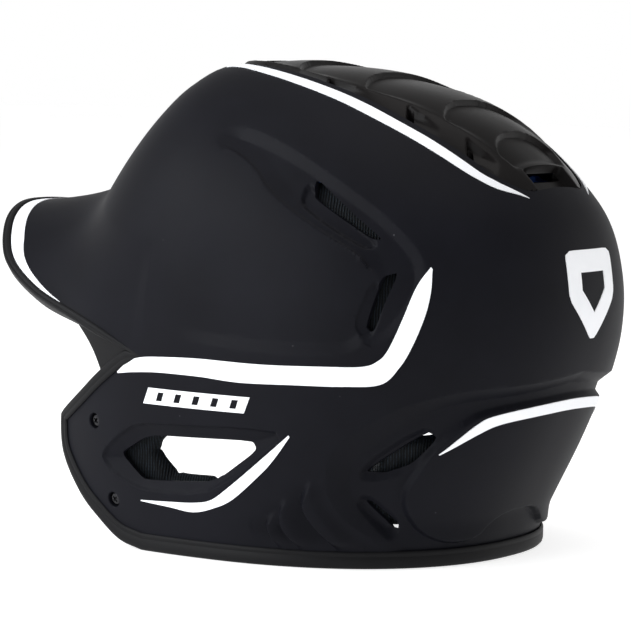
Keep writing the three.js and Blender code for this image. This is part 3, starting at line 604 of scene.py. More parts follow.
def shade(obj, degrees=32):
    with bpy.context.temp_override(object=obj, active_object=obj, selected_objects=[obj],
                                   selected_editable_objects=[obj]):
        bpy.ops.object.shade_smooth_by_angle(angle=math.radians(degrees))
    return obj


def dress(obj, material, slot, body, *nodes):
    obj.data.materials.clear()
    obj.data.materials.append(material)
    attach(obj, body)
    if nodes:
        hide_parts(*nodes)
    return obj


# ---- materials ----
def new_material(name, color, roughness, metallic=0.0, specular=0.5):
    material = bpy.data.materials.new(name)
    material.use_nodes = True
    shader = material.node_tree.nodes["Principled BSDF"]
    shader.inputs["Base Color"].default_value = (*color, 1)
    shader.inputs["Roughness"].default_value = roughness
    shader.inputs["Metallic"].default_value = metallic
    shader.inputs["Specular IOR Level"].default_value = specular
    return material, material.node_tree, shader


def coordinates(tree, scale=(1, 1, 1), rotation=(0, 0, 0)):
    place = tree.nodes.new("ShaderNodeTexCoord")
    mapping = tree.nodes.new("ShaderNodeMapping")
    mapping.inputs["Scale"].default_value = scale
    mapping.inputs["Rotation"].default_value = rotation
    tree.links.new(place.outputs["Object"], mapping.inputs["Vector"])
    return mapping.outputs["Vector"]


def noise(tree, vector, scale, detail=3, roughness=0.5):
    node = tree.nodes.new("ShaderNodeTexNoise")
    node.inputs["Scale"].default_value = scale
    node.inputs["Detail"].default_value = detail
    node.inputs["Roughness"].default_value = roughness
    tree.links.new(vector, node.inputs["Vector"])
    return node.outputs["Fac"]


def ramp(tree, value, low, high, colors):
    node = tree.nodes.new("ShaderNodeValToRGB")
    node.color_ramp.elements[0].position = low
    node.color_ramp.elements[1].position = high
    node.color_ramp.elements[0].color = (*colors[0], 1)
    node.color_ramp.elements[1].color = (*colors[1], 1)
    tree.links.new(value, node.inputs["Fac"])
    return node.outputs["Color"]


def arithmetic(tree, operation, *values):
    node = tree.nodes.new("ShaderNodeMath")
    node.operation = operation
    for socket, value in zip(node.inputs, values):
        if isinstance(value, (int, float)):
            socket.default_value = value
        else:
            tree.links.new(value, socket)
    return node.outputs["Value"]


def spread(tree, value, low, high, from_low=0):
    node = tree.nodes.new("ShaderNodeMapRange")
    node.inputs["From Min"].default_value = from_low
    node.inputs["To Min"].default_value = low
    node.inputs["To Max"].default_value = high
    tree.links.new(value, node.inputs["Value"])
    return node.outputs["Result"]


def bump(tree, shader, height, strength, distance, under=None):
    node = tree.nodes.new("ShaderNodeBump")
    node.inputs["Strength"].default_value = strength
    node.inputs["Distance"].default_value = distance
    tree.links.new(height, node.inputs["Height"])
    if under is not None:
        tree.links.new(under, node.inputs["Normal"])
    tree.links.new(node.outputs["Normal"], shader.inputs["Normal"])
    return node.outputs["Normal"]


def moulded(name, dark, light, rough, grain, depth, specular=0.5):
    """Moulded or coated plastic: a fine grain, a slow drift in tone and sheen, a few dust specks."""
    material, tree, shader = new_material(name, light, rough[0], specular=specular)
    place = coordinates(tree)
    drift = noise(tree, place, 18, 4, 0.6)
    fine = noise(tree, place, grain, 2)
    base = ramp(tree, drift, 0.3, 0.7, (dark, light))
    specks = tree.nodes.new("ShaderNodeTexVoronoi")
    specks.inputs["Scale"].default_value = 150
    tree.links.new(place, specks.inputs["Vector"])
    dust = ramp(tree, specks.outputs["Distance"], 0.035, 0.06, ((1, 1, 1), (0, 0, 0)))
    patchy = ramp(tree, noise(tree, place, 60, 2), 0.60, 0.66, ((0, 0, 0), (1, 1, 1)))
    both = tree.nodes.new("ShaderNodeMix")
    both.data_type = "RGBA"
    both.blend_type = "MULTIPLY"
    both.inputs["Factor"].default_value = 1
    tree.links.new(dust, both.inputs["A"])
    tree.links.new(patchy, both.inputs["B"])
    dusty = tree.nodes.new("ShaderNodeMix")
    dusty.data_type = "RGBA"
    tree.links.new(both.outputs["Result"], dusty.inputs["Factor"])
    tree.links.new(base, dusty.inputs["A"])
    dusty.inputs["B"].default_value = (0.045, 0.045, 0.05, 1)
    tree.links.new(dusty.outputs["Result"], shader.inputs["Base Color"])
    tree.links.new(spread(tree, drift, *rough), shader.inputs["Roughness"])
    bump(tree, shader, fine, 0.35, depth)
    return material


shell_black = moulded("shell_soft_touch_black", (0.0040, 0.0041, 0.0060), (0.0060, 0.0062, 0.0090),
                      (0.46, 0.58), 2600, 0.00012, 0.065)
panel_black = moulded("panel_satin_black", (0.0046, 0.0040, 0.0041), (0.0070, 0.0062, 0.0062),
                      (0.28, 0.40), 3400, 0.00008, 0.075)
rubber_black = moulded("moulding_rubber", (0.0050, 0.0050, 0.0056), (0.0078, 0.0078, 0.0086),
                       (0.46, 0.60), 1800, 0.00016, 0.10)


def stripe_material():
    material, tree, shader = new_material("stripe_print_film", (0.86, 0.87, 0.90), 0.42)
    place = coordinates(tree)
    cloud = noise(tree, place, 45, 4, 0.6)
    tree.links.new(ramp(tree, cloud, 0.3, 0.7, ((0.83, 0.845, 0.875), (0.90, 0.91, 0.935))),
                   shader.inputs["Base Color"])
    tree.links.new(spread(tree, cloud, 0.34, 0.50), shader.inputs["Roughness"])
    bump(tree, shader, noise(tree, place, 2200, 2), 0.2, 0.00006)
    return material


def foam_material():
    """Closed-cell foam: a pebbled skin with small open pores."""
    material, tree, shader = new_material("liner_blue_foam", (0.02, 0.07, 0.42), 0.8, specular=0.25)
    place = coordinates(tree)
    cells = tree.nodes.new("ShaderNodeTexVoronoi")
    cells.inputs["Scale"].default_value = 900
    tree.links.new(place, cells.inputs["Vector"])
    tone = noise(tree, place, 70, 4, 0.6)
    tree.links.new(ramp(tree, tone, 0.3, 0.7, ((0.008, 0.055, 0.24), (0.016, 0.095, 0.37))),
                   shader.inputs["Base Color"])
    tree.links.new(spread(tree, tone, 0.72, 0.9), shader.inputs["Roughness"])
    bump(tree, shader, cells.outputs["Distance"], 0.6, 0.0004)
    return material


RIB_PITCH = 0.0012
RIB_AZIMUTH = math.radians(-65)


def mesh_material():
    """Knitted spacer mesh: upright raised ribs with rows of small holes, the same on both sides; its colour is
    painted shade in the valleys and holes and painted highlight on the rib crests.
    """
    material, tree, shader = new_material("pad_knitted_mesh", (0.02, 0.025, 0.034), 0.85, specular=0.2)
    shader.inputs["Sheen Weight"].default_value = 0.05
    shader.inputs["Sheen Roughness"].default_value = 0.5
    shader.inputs["Sheen Tint"].default_value = (0.50, 0.64, 0.80, 1)
    place = coordinates(tree)
    split = tree.nodes.new("ShaderNodeSeparateXYZ")
    tree.links.new(place, split.inputs["Vector"])
    wobble = spread(tree, noise(tree, place, 120, 2), -0.0005, 0.0005)
    sideways = arithmetic(tree, "ABSOLUTE", split.outputs["X"])
    across = arithmetic(tree, "MULTIPLY", sideways, math.cos(RIB_AZIMUTH))
    along = arithmetic(tree, "MULTIPLY_ADD", split.outputs["Y"], math.sin(RIB_AZIMUTH), across)
    wave = arithmetic(tree, "MULTIPLY", arithmetic(tree, "ADD", along, wobble), 2 * math.pi / RIB_PITCH)
    ribs = spread(tree, arithmetic(tree, "SINE", wave), -0.1, 1.0, -1)
    holes = tree.nodes.new("ShaderNodeTexVoronoi")
    holes.inputs["Scale"].default_value = 720
    holes.inputs["Randomness"].default_value = 0.25
    tree.links.new(place, holes.inputs["Vector"])
    knit = arithmetic(tree, "MULTIPLY", ribs, spread(tree, holes.outputs["Distance"], 1.0, 0.3))
    # Painted light: the colour follows the bump's height, near black in the valleys and holes (painted shade)
    # and lighter blue-grey on the crests (painted highlight).
    tree.links.new(ramp(tree, knit, 0.42, 0.95, ((0.0008, 0.0010, 0.0014), (0.016, 0.024, 0.034))),
                   shader.inputs["Base Color"])
    tree.links.new(spread(tree, noise(tree, place, 300, 2), 0.78, 0.95), shader.inputs["Roughness"])
    bump(tree, shader, knit, 0.9, 0.0006)
    return material


def metal_material(name, color, rough, streak):
    material, tree, shader = new_material(name, color, rough[0], metallic=1.0)
    place = coordinates(tree, scale=(1, 1, streak))
    grain = noise(tree, place, 1500, 4, 0.7)
    dark = tuple(0.7 * c for c in color)
    tree.links.new(ramp(tree, grain, 0.3, 0.7, (dark, color)), shader.inputs["Base Color"])
    tree.links.new(spread(tree, grain, *rough), shader.inputs["Roughness"])
    bump(tree, shader, grain, 0.3, 0.00005)
    return material


stripe_white = stripe_material()
foam_blue = foam_material()
mesh_fabric = mesh_material()
screw_black = metal_material("screw_black_oxide", (0.035, 0.035, 0.038), (0.16, 0.30), 1)
nut_zinc = metal_material("nut_zinc_plate", (0.62, 0.62, 0.64), (0.25, 0.42), 6)

ROOT = "helmet"

# ---- outer shell ----
RIM_SWEEP = 190
REAR_COLUMNS = 240
FRONT_COLUMNS = 80
FLAP_ROWS = 50
FLAP_COLUMNS = 28
BEND_TOLERANCES = (0.05, 0.06)
BRIDGE_GRAIN = 0.04
knee = level_at(FILLET_TOP_SIDE)
brow_level = level_at(BROW_Z)
rim_level = level_at(RIM_Z)


def rear_crown(u, v):
    return dome(knee * v, np.radians(u))


def rear_skirt(u, v):
    return dome(lerp(knee, brow_level, v), np.radians(u))


def front_crown(u, v):
    foot = level_at(lerp(FILLET_TOP_SIDE, FILLET_TOP_FRONT, smooth(1 - np.abs(u))))
    return dome(foot * v, np.radians(bill_angle(u)))


def front_bill(u, v):
    p, n = bill(u, v)
    edge = np.abs(u) > 0.999
    angle = np.where(u > 0, NOTCH_ANGLE, 180 - NOTCH_ANGLE)
    side_p, side_n = rear_skirt(angle, v)
    keep = edge[..., None]
    return np.where(keep, side_p, p), np.where(keep, side_n, n)


def rear_lower(u, v):
    """u is the section angle at the brow; the columns close in towards the rim."""
    share = (u - NOTCH_ANGLE) / (180 - 2 * NOTCH_ANGLE)
    at_rim = 90 + RIM_SWEEP * (share - 0.5)
    return dome(lerp(brow_level, rim_level, v), np.radians(lerp(u, at_rim, v)))


def flap_front(u, v):
    """The flap in front of the notch, blended between its four edges."""
    u, v = np.broadcast_arrays(np.asarray(u, float), np.asarray(v, float))
    column = rear_lower(np.full(u.shape, NOTCH_ANGLE), v)
    foot = rear_lower(NOTCH_ANGLE, np.array(1.0))[0]
    top_edge, front_edge = through(FLAP_TOP, u), through(FLAP_FRONT, v)
    toe, corner, notch = FLAP_FRONT[-1], FLAP_FRONT[0], FLAP_TOP[0]
    yz = []
    for k in (0, 1):
        rim = lerp(foot[k + 1], toe[k], u)
        ruled = lerp(top_edge[..., k], rim, v) + lerp(column[0][..., k + 1], front_edge[..., k], u)
        yz.append(ruled - lerp(lerp(notch[k], corner[k], u), rim, v))
    p, n = left_side(*yz)
    first = (u == 0)[..., None]
    return np.where(first, column[0], p), np.where(first, column[1], n)


def reflect(sheet):
    p, n, f = sheet
    return p * FLIP, n * FLIP, f[:, ::-1]


def skin(crown_rows, skirt_rows):
    """All sheets of the dome; both skins share their columns and flap rows, so their edges match."""
    rear = np.linspace(NOTCH_ANGLE, 180 - NOTCH_ANGLE, REAR_COLUMNS + 1)
    front = np.linspace(-1, 1, FRONT_COLUMNS + 1)
    down = np.linspace(0, 1, FLAP_ROWS + 1)
    flap = grid_sheet(np.linspace(1, 0, FLAP_COLUMNS + 1), down, flap_front)
    sheets = [
        grid_sheet(rear, crown_rows, rear_crown),
        grid_sheet(rear, skirt_rows, rear_skirt),
        grid_sheet(front, crown_rows, front_crown),
        grid_sheet(front, skirt_rows, front_bill),
        grid_sheet(rear, down, rear_lower),
        flap,
        reflect(flap),
    ]
    return weld(sheets)


fine_crown = np.concatenate([np.linspace(0.05, 0.36, 9), np.linspace(0.36, 1, 44)[1:]])
outer_base, outer_normals, outer_faces = skin(fine_crown, np.linspace(0, 1, 30))
inner_base, inner_normals, inner_faces = skin(np.linspace(0.05, 1, 12), np.linspace(0, 1, 7))


def shell_relief(base):
    height = relief(base)
    under_bill = (np.abs(base[:, 0]) < 60) & (base[:, 1] < -20)
    height[under_bill] = 0
    return height


def bridge(outer_base, outer, outer_faces, inner_base, inner, inner_faces):
    """Joins two skins of different density whose free edges have the same points."""
    a, b = free_edges(outer_faces, len(outer))
    rim, _ = free_edges(inner_faces, len(inner))
    places = {tuple(np.round(inner_base[k] / BRIDGE_GRAIN).astype(int)): k for k in rim}

    def partner(k):
        key = np.round(outer_base[k] / BRIDGE_GRAIN).astype(int) - 1
        near = [tuple(key + np.array(d)) for d in np.ndindex(3, 3, 3)]
        found = [places[n] for n in near if n in places]
        return min(found, key=lambda m: np.linalg.norm(inner_base[m] - outer_base[k]))

    partners = {k: partner(k) + len(outer) for k in set(a.tolist()) | set(b.tolist())}
    walls = np.array([[q, p, partners[p], partners[q]] for p, q in zip(a.tolist(), b.tolist())])
    return np.vstack([outer, inner]), np.vstack([outer_faces, inner_faces[:, ::-1] + len(outer), walls])


def split_where_bent(base, normals, height, faces, locked, tolerance):
    """Splits in four each quad whose middle the relief lifts off its corners' mean."""
    quads = [k for k, f in enumerate(faces) if len(f) == 4]
    corners = np.array([faces[k] for k in quads])
    middle = base[corners].mean(1)
    middle_height = shell_relief(middle)
    bent = np.abs(middle_height - height[corners].mean(1)) > tolerance
    bent &= ~locked[corners].any(1)
    middle_of = {quads[k]: n for n, k in enumerate(np.flatnonzero(bent))}
    ends = {}
    for k in middle_of:
        f = faces[k]
        for a, b in zip(f, f[1:] + f[:1]):
            ends.setdefault((min(a, b), max(a, b)), len(ends))
    pairs = np.array(list(ends))
    half_way = base[pairs].mean(1)
    first_edge = len(base)
    first_middle = first_edge + len(pairs)
    base = np.vstack([base, half_way, middle[bent]])
    normals = np.vstack([normals, unit(normals[pairs].mean(1)), unit(normals[corners[bent]].mean(1))])
    height = np.concatenate([height, shell_relief(half_way), middle_height[bent]])
    locked = np.concatenate([locked, np.zeros(len(base) - len(locked), bool)])
    result = []
    for k, f in enumerate(faces):
        halves = [ends.get((min(a, b), max(a, b))) for a, b in zip(f, f[1:] + f[:1])]
        if k in middle_of:
            c = first_middle + middle_of[k]
            result += [[f[i], first_edge + halves[i], c, first_edge + halves[i - 1]] for i in range(4)]
        else:
            result.append([m for v, h in zip(f, halves) for m in ([v] if h is None else [v, first_edge + h])])
    return base, normals, height, result, locked


outer_height = shell_relief(outer_base)
inner_height = shell_relief(inner_base)
outer_skin = outer_base + outer_normals * outer_height[:, None]
inner_skin = inner_base - inner_normals * np.maximum(WALL, THIN_WALL - inner_height)[:, None]
_, shell_faces = bridge(outer_base, outer_skin, outer_faces, inner_base, inner_skin, inner_faces)
locked = np.zeros(len(outer_base), bool)
for ends in free_edges(outer_faces, len(outer_base)):
    locked[ends] = True
refined = (outer_base, outer_normals, outer_height, [tidy_face(f) for f in outer_faces.tolist()], locked)
for tolerance in BEND_TOLERANCES:
    refined = split_where_bent(*refined, tolerance)
fine_base, fine_normals, fine_height, fine_faces, _ = refined
# The inner skin and the walls keep their faces, renumbered past the points that were added.
count = len(outer_base)
rest_faces = shell_faces[len(outer_faces):]
rest_faces = np.where(rest_faces >= count, rest_faces + len(fine_base) - count, rest_faces)
skins = np.vstack([fine_base + fine_normals * fine_height[:, None], inner_skin])
shell = make("shell", skins, fine_faces + rest_faces.tolist())

SCREWS = {"upper": (-46.5, 57.0), "lower": (-37.0, 23.0)}
HEAD_R = 3.0
HEAD_FLOOR = -2.5
BORE_R = 3.0


def crown_outline():
    half = [[x, y] for x, y in CROWN_OPENING]
    ring = np.array(half + [[-x, y] for x, y in half[-2:0:-1]], float)
    smoothed = spline(ring, np.linspace(0, len(ring) - 1, 120), ring[-1], ring[0])
    closing = np.linspace(len(ring) - 1, len(ring), 8)[1:-1]
    return np.vstack([smoothed, spline(close(ring), closing, ring[-1], ring[1])])


side_cuts = [prism_parts(chaikin(outline, 2, cut=0.13), "x", low, 130) for outline, low in (
    (EAR_HOLE, 60), (SIDE_VENT_FRONT, 60), (SIDE_VENT_REAR, 60), (REAR_VENT_UPPER, 45), (REAR_VENT_LOWER, 45))]
for place in SCREWS.values():
    p, n = left_side(*place)
    chamfer, seat, floor_h = HEAD_R + 0.75, HEAD_R + 0.35, HEAD_FLOOR - 0.15
    profile = [(0, 6), (chamfer, 6), (chamfer, 0), (seat, -0.4), (seat, floor_h), (BORE_R, floor_h),
               (BORE_R, -9), (0, -9)]
    side_cuts.append(lathe_parts(profile, p, n))
carve(shell, joined(side_cuts + mirrored(side_cuts) + [prism_parts(crown_outline(), "z", 130, 260)]))
shade(shell, 38)
dress(shell, shell_black, "shell_black", ROOT, "outer_shell", "bill", "ear_flap_left", "ear_flap_right")


# ---- stripes and plain marks, which follow the shell's relief ----
FILM_LIFT = 0.35
FILM_SINK = -0.35
MARK_LIFT = 0.32
BILL_FILM_LIFT = 0.3


def ribbon(name, node, surface, upper, lower, columns, rows, mirror=False):
    u, v = np.meshgrid(np.linspace(0, 1, columns + 1), np.linspace(0, 1, rows + 1), indexing="ij")
    a, b = through(upper, u), through(lower, u)
    p, n = surface(lerp(a[..., 0], b[..., 0], v), lerp(a[..., 1], b[..., 1], v))
    return film(name, node, p, n, grid_faces(columns, rows), mirror)


def film(name, node, p, n, faces, mirror):
    p, n = p.reshape(-1, 3), n.reshape(-1, 3)
    if mirror:
        p, n, faces = p * FLIP, n * FLIP, faces[:, ::-1]
    obj = make(name, *closed_solid(raised(p, n, FILM_LIFT), raised(p, n, FILM_SINK), faces))
    return dress(shade(obj, 50), stripe_white, "stripe_white", ROOT, node)


SIDE_STRIPE_UPPER = [[-30.5, 80.2], [-24, 85], [-17, 87.5], [-6, 88.7], [15.5, 89.6], [45, 89.3], [72, 90],
                     [87, 90.6], [93, 93], [97, 98], [102, 111], [106, 125], [109.3, 132.5]]
SIDE_STRIPE_LOWER = [[-30, 79.6], [-20.6, 80.9], [-6, 82], [15, 82], [35, 81], [60, 81.6], [80, 82], [94, 83.5],
                     [101, 91], [105.5, 100], [109.3, 112], [110.6, 122], [110, 131.6]]
EAR_STRIPE_UPPER = [[-20, 25], [-4, 25.9], [9, 26.8], [18, 29], [28, 36], [38, 44], [48, 52.5], [56.5, 60]]
EAR_STRIPE_LOWER = [[-20, 24.6], [-5, 23.6], [8, 22.6], [19, 25.5], [29, 30.5], [43, 42.5], [50, 50], [57, 59.3]]
CROWN_STRIPE_OUTER = [[24, -29], [37.6, -3], [46.6, 23], [51.9, 47], [54.2, 68], [52.8, 87], [48.9, 103.4],
                      [44.2, 113.6], [38.5, 120.2], [28, 127]]
CROWN_STRIPE_INNER = [[18, -31.5], [31, -6], [40.2, 19], [46.6, 48], [49.2, 73], [47.2, 92], [42.6, 109],
                      [38, 116.8], [33.6, 121.6], [27.4, 127.4]]
REAR_STRIPE_UPPER = [[66, 52.5], [56, 65], [48, 69], [27, 71.8], [0, 73]]
REAR_STRIPE_LOWER = [[65.7, 52.3], [53.5, 61], [44, 65], [25, 67.2], [0, 68.2]]
SIDES = (("left", False), ("right", True))
STRIPES = [
    ("side_stripe", left_side, SIDE_STRIPE_UPPER, SIDE_STRIPE_LOWER, 220, 8),
    ("ear_stripe", left_side, EAR_STRIPE_UPPER, EAR_STRIPE_LOWER, 130, 6),
    ("crown_stripe", top, CROWN_STRIPE_OUTER, CROWN_STRIPE_INNER, 200, 8),
]
for side, flip in SIDES:
    for stripe, *shape in STRIPES:
        ribbon(f"{stripe}_film_{side}", f"{stripe}_{side}", *shape, flip)


def both_ways(half):
    """A line that ends on the middle of the back, carried on to the other side."""
    return half + [[-x, z] for x, z in half[-2::-1]]


rear_lines = both_ways(REAR_STRIPE_UPPER), both_ways(REAR_STRIPE_LOWER)
ribbon("rear_stripe_film", "rear_stripe", back, *rear_lines, 260, 8)

BILL_STRIPE_END = 0.75
BILL_STRIPE_INSET = 2.1
BILL_STRIPE_WIDTH = 6.8
u, v = np.meshgrid(np.linspace(-BILL_STRIPE_END, BILL_STRIPE_END, 161), np.linspace(0, 1, 7), indexing="ij")
taper = np.clip((BILL_STRIPE_END - np.abs(u)) / 0.34, 0, 1) ** 0.9
inset = BILL_STRIPE_INSET + v * lerp(0.5, BILL_STRIPE_WIDTH, taper)
reach = np.linalg.norm(bill_point(u, np.ones(u.shape)) - bill_point(u, np.full(u.shape, 0.8)), axis=-1) / 0.2
p, n = bill(u, 1 - inset / reach)
bill_skins = [(p + n * lift).reshape(-1, 3) for lift in (BILL_FILM_LIFT, FILM_SINK)]
bill_film = shade(make("bill_stripe_film", *closed_solid(*bill_skins, grid_faces(160, 6))), 50)
dress(bill_film, stripe_white, "stripe_white", ROOT, "bill_stripe")


def mark(name, node, surface, window, axis, outline, holes, mirror=False):
    """A flat printed shape, cut from a film that follows the surface."""
    (a0, a1), (b0, b1) = window
    a, b = np.meshgrid(np.linspace(a0, a1, 41), np.linspace(b0, b1, 31), indexing="ij")
    p, n = surface(a, b)
    p, n = p.reshape(-1, 3), n.reshape(-1, 3)
    skins = raised(p, n, MARK_LIFT), raised(p, n, FILM_SINK)
    obj = make(name, *closed_solid(*skins, grid_faces(40, 30)))
    low, high = (60, 140) if axis == "x" else (60, 170)
    carve(obj, joined([prism_parts(outline, axis, low, high)]), "INTERSECT")
    carve(obj, joined([prism_parts(hole, axis, low, high) for hole in holes]))
    if mirror:
        obj.data.transform(Matrix.Scale(-1, 4, (1, 0, 0)))
        obj.data.flip_normals()
    return dress(shade(obj, 50), stripe_white, "stripe_white", ROOT, node)


PLATE = chaikin([[-20.5, 138.5], [20.5, 138.5], [20.5, 118], [0, 98.5], [-20.5, 118]], 2, cut=0.1)
PLATE_WINDOW = [[-10.5, 129], [10.5, 129], [10.5, 121.5], [0, 111.5], [-10.5, 121.5]]
mark("rear_plate_mark", "rear_mark", back, ((-25, 25), (94, 143)), "y", PLATE, [PLATE_WINDOW])
FLAP_BAR = [[-15, 68], [37, 68], [40, 75], [-12, 75]]
slots = [[[y, 69.6], [y + 3.2, 69.6], [y + 4.6, 73.4], [y + 1.4, 73.4]] for y in np.arange(5) * 9.5 - 8]
for side, flip in SIDES:
    mark(f"flap_bar_mark_{side}", f"flap_mark_{side}", left_side, ((-20, 45), (64, 79)), "x", FLAP_BAR,
         slots, flip)

# ---- crown vent panel ----
PANEL_WALL = 2.4
PANEL_FLANGE = 3.0
RIDGE = np.array([[-37, 4], [-20, 14], [0, 25], [15, 32], [38, 37], [58, 37], [76, 34.5], [90, 32], [103, 28],
                  [111, 25], [118, 22], [131, 14]], float)
ARCHES = [-24, 9, 46, 83, 106, 150]
ARCH_DROP = 2.3
SIDE_SLOT_DEPTH = 3.4
SIDE_SLOTS = [
    [[19, -14], [30.5, 2], [36.5, 18], [31.5, 15.5], [26, 2]],
    [[34.5, 30], [42, 36], [44.2, 57], [38.5, 56], [37, 45]],
    [[36, 71], [43.8, 76], [43.4, 94], [37.5, 90]],
    [[32, 98.5], [39, 104], [35, 117], [28.5, 112.5]],
]
opening_ring = crown_outline()
left_half = opening_ring[opening_ring[:, 0] >= 0]
left_half = left_half[np.argsort(left_half[:, 1])]
opening_x, opening_y = left_half.T


def opening_half(y):
    return np.interp(y, opening_y, opening_x)


REAR_STEP = 4.4
REAR_STEP_Y = 118.4
SLOT_HALF = 16.0


def panel_height(x, y):
    across = np.abs(x)
    ridge = np.interp(y, RIDGE[:, 0], RIDGE[:, 1])
    edge = opening_half(np.clip(y, -34, 124))
    band = np.clip((across - ridge) / np.maximum(edge - ridge, 2), 0, 1.4)
    height = 0.6 - 3.9 * band ** 1.2 * lerp(1, 0.3, smooth((y - 102) / 14))
    height = height - 4.4 * smooth((-26 - y) / 10)
    height = height - REAR_STEP * smooth((y - REAR_STEP_Y) / 0.9) * smooth((SLOT_HALF + 2.5 - across) / 2.5)
    inner = np.clip((ridge - across) / 3.5, 0, 1) * smooth((REAR_STEP_Y - y) / 3)
    bow = 8.0 * np.clip(across / np.maximum(ridge, 6), 0, 1) ** 3 - 3
    for start, end in zip(ARCHES, ARCHES[1:]):
        t = (y - start - bow) / (end - start)
        drop = np.where((t > 0) & (t < 1), (1 - t) ** 1.2 * np.clip(t * (end - start) / 1.1, 0, 1), 0)
        height = height - ARCH_DROP * drop * inner
    for outline in SIDE_SLOTS:
        ring = np.array(outline, float)
        flat = np.stack([across, y], -1).reshape(-1, 2)
        depth = smooth((ring[:, 1].max() - flat[:, 1]) / (0.95 * np.ptp(ring[:, 1])))
        soft = smooth(segment_distance(flat, close(ring)) / 1.7)
        cut = np.where(inside(flat, ring), SIDE_SLOT_DEPTH * depth * soft, 0)
        height = height - cut.reshape(across.shape)
    flat = np.stack([x, y], -1).reshape(-1, 2)
    gap = segment_distance(flat, close(opening_ring)).reshape(across.shape)
    under = ~inside(flat, opening_ring).reshape(across.shape) & (gap > 0.25)
    return np.where(under, np.minimum(height, -(WALL + 1.3)), height)


def panel_surface(u, v):
    y = lerp(-41, 130.5, v)
    x = lerp(-1, 1, u) * np.maximum(14, PANEL_FLANGE + opening_half(np.clip(y, -34, 120)))
    p, n = top(x, y)
    return p + n * panel_height(x, y)[..., None], n


points, normals, faces = grid_sheet(np.linspace(0, 1, 101), np.linspace(0, 1, 241), panel_surface)
panel = make("crown_panel", *closed_solid(points, points - normals * PANEL_WALL, faces))
slot_cuts = []
for outline in SIDE_SLOTS:
    ring = np.array(outline, float)
    front = lerp(ring.mean(0), ring, 0.9)
    front = [front[0], lerp(front[0], front[1], 0.95), lerp(front[1], front[2], 0.18),
             lerp(front[0], front[-1], 0.2)]
    slot_cuts.append(prism_parts(chaikin(front, 2, cut=0.12), "z", 120, 240))
# The rear slot opens in the face of the panel's last step.
step_z = top(0.0, REAR_STEP_Y)[0][2]
slot_low, slot_high = step_z - 7.2, step_z - 3.4
rear_slot = chaikin([[-SLOT_HALF, slot_low], [SLOT_HALF, slot_low], [SLOT_HALF - 1, slot_high],
                     [1 - SLOT_HALF, slot_high]], 2, cut=0.1)
carve(panel, joined(slot_cuts + mirrored(slot_cuts) + [prism_parts(rear_slot, "y", 114, 124.5)]))
shade(panel, 40)
dress(panel, panel_black, "panel_black", ROOT, "crown_vent_panel")


# ---- edge moulding ----
BILL_LIP = 1.4
RIM_LIP = 2.4


def bead_profile(drop, lip):
    low = -(WALL + lip)
    return np.array([
        [-0.3, 0.05], [-0.1, -1.1], [0.45, -1.35], [0.9, -1.1], [1.15, -0.5], [1.2, 0.35], [0.95, 0.75],
        [0.95, 1.1], [1.2, 1.45], [1.2, drop * 0.66], [0.9, drop * 0.86], [0.2, drop * 0.97],
        [-0.8, drop], [low + 1.2, drop], [low + 0.3, drop * 0.9], [low, drop * 0.7], [low, -3],
        [low + 0.3, -3.7], [-(WALL + 1.3), -4], [-(WALL + 0.7), -3.7], [-(WALL + 0.3), 0.05],
    ])


def sweep_parts(centres, outs, pasts, profiles):
    count = profiles.shape[1]
    points = (centres[:, None] + outs[:, None] * profiles[..., :1] + pasts[:, None] * profiles[..., 1:])
    n = len(centres)
    faces = []
    for k in range(n - 1):
        for i in range(count):
            j = (i + 1) % count
            faces.append([k * count + i, k * count + j, (k + 1) * count + j, (k + 1) * count + i])
    faces.append(list(range(count))[::-1])
    faces.append([(n - 1) * count + i for i in range(count)])
    return points.reshape(-1, 3), faces


def tame_at_notch(profile, near_notch, least=0.25):
    """Draws a swept profile in where the bill's bead and the flap's bead meet."""
    outer = profile[..., 0] > 0
    profile[..., 0] = np.where(outer, profile[..., 0] * near_notch, profile[..., 0])
    profile[..., 1] *= lerp(least, 1, near_notch)
    return profile


f = np.linspace(1, -1, 150)
bill_centres = bill_edge(f)
p, n = bill(np.clip(f, -0.98, 0.98), np.full(f.shape, 0.985))
tangent = unit(bill_edge(np.minimum(f + 0.02, 1)) - bill_edge(np.maximum(f - 0.02, -1)))
n = unit(n - tangent * (n * tangent).sum(-1, keepdims=True))
e = unit(np.cross(tangent, n))
e = e * np.sign((e * (bill_centres - p)).sum(-1, keepdims=True))
bill_profile = np.repeat(bead_profile(BILL_TRIM_DROP, BILL_LIP)[None], len(f), 0)
bill_profile = tame_at_notch(bill_profile, smooth((1 - np.abs(f)) / 0.12)[:, None])
moulding_parts = [sweep_parts(bill_centres, n, e, bill_profile)]

ts = np.linspace(0, 1, 40)
front_path = flap_front(ts, np.zeros(40))
down_path = flap_front(np.ones(60), np.linspace(0, 1, 60))
foot_path = flap_front(np.linspace(1, 0, 24), np.ones(24))
rim_degrees = np.linspace(NOTCH_ANGLE, 180 - NOTCH_ANGLE, 170)
rim_path = rear_lower(rim_degrees, np.ones(170))
half_p = np.vstack([front_path[0], down_path[0][1:], foot_path[0][1:-1]])
half_n = np.vstack([front_path[1], down_path[1][1:], foot_path[1][1:-1]])
path = np.vstack([half_p, rim_path[0], (half_p * FLIP)[::-1]])
outward = np.vstack([half_n, rim_path[1], (half_n * FLIP)[::-1]])
outward = unit(outward * np.array([1, 1, 0]))
travel = np.cumsum(np.r_[0, np.linalg.norm(np.diff(path, axis=0), axis=1)])
behind, ahead = [np.stack([np.interp(travel + step, travel, path[:, k]) for k in range(3)], -1)
                 for step in (-2.5, 2.5)]
e = unit(np.cross(ahead - behind, outward))
drops = lerp(FLAP_TRIM_DROP, RIM_Z - REST_Z, np.clip(-e[:, 2], 0, 1) ** 2)
rim_profile = np.stack([bead_profile(d, RIM_LIP) for d in drops])
from_notch = smooth(np.minimum(travel, travel[-1] - travel) / 9)[:, None]
moulding_parts.append(sweep_parts(path, outward, e, tame_at_notch(rim_profile, from_notch)))


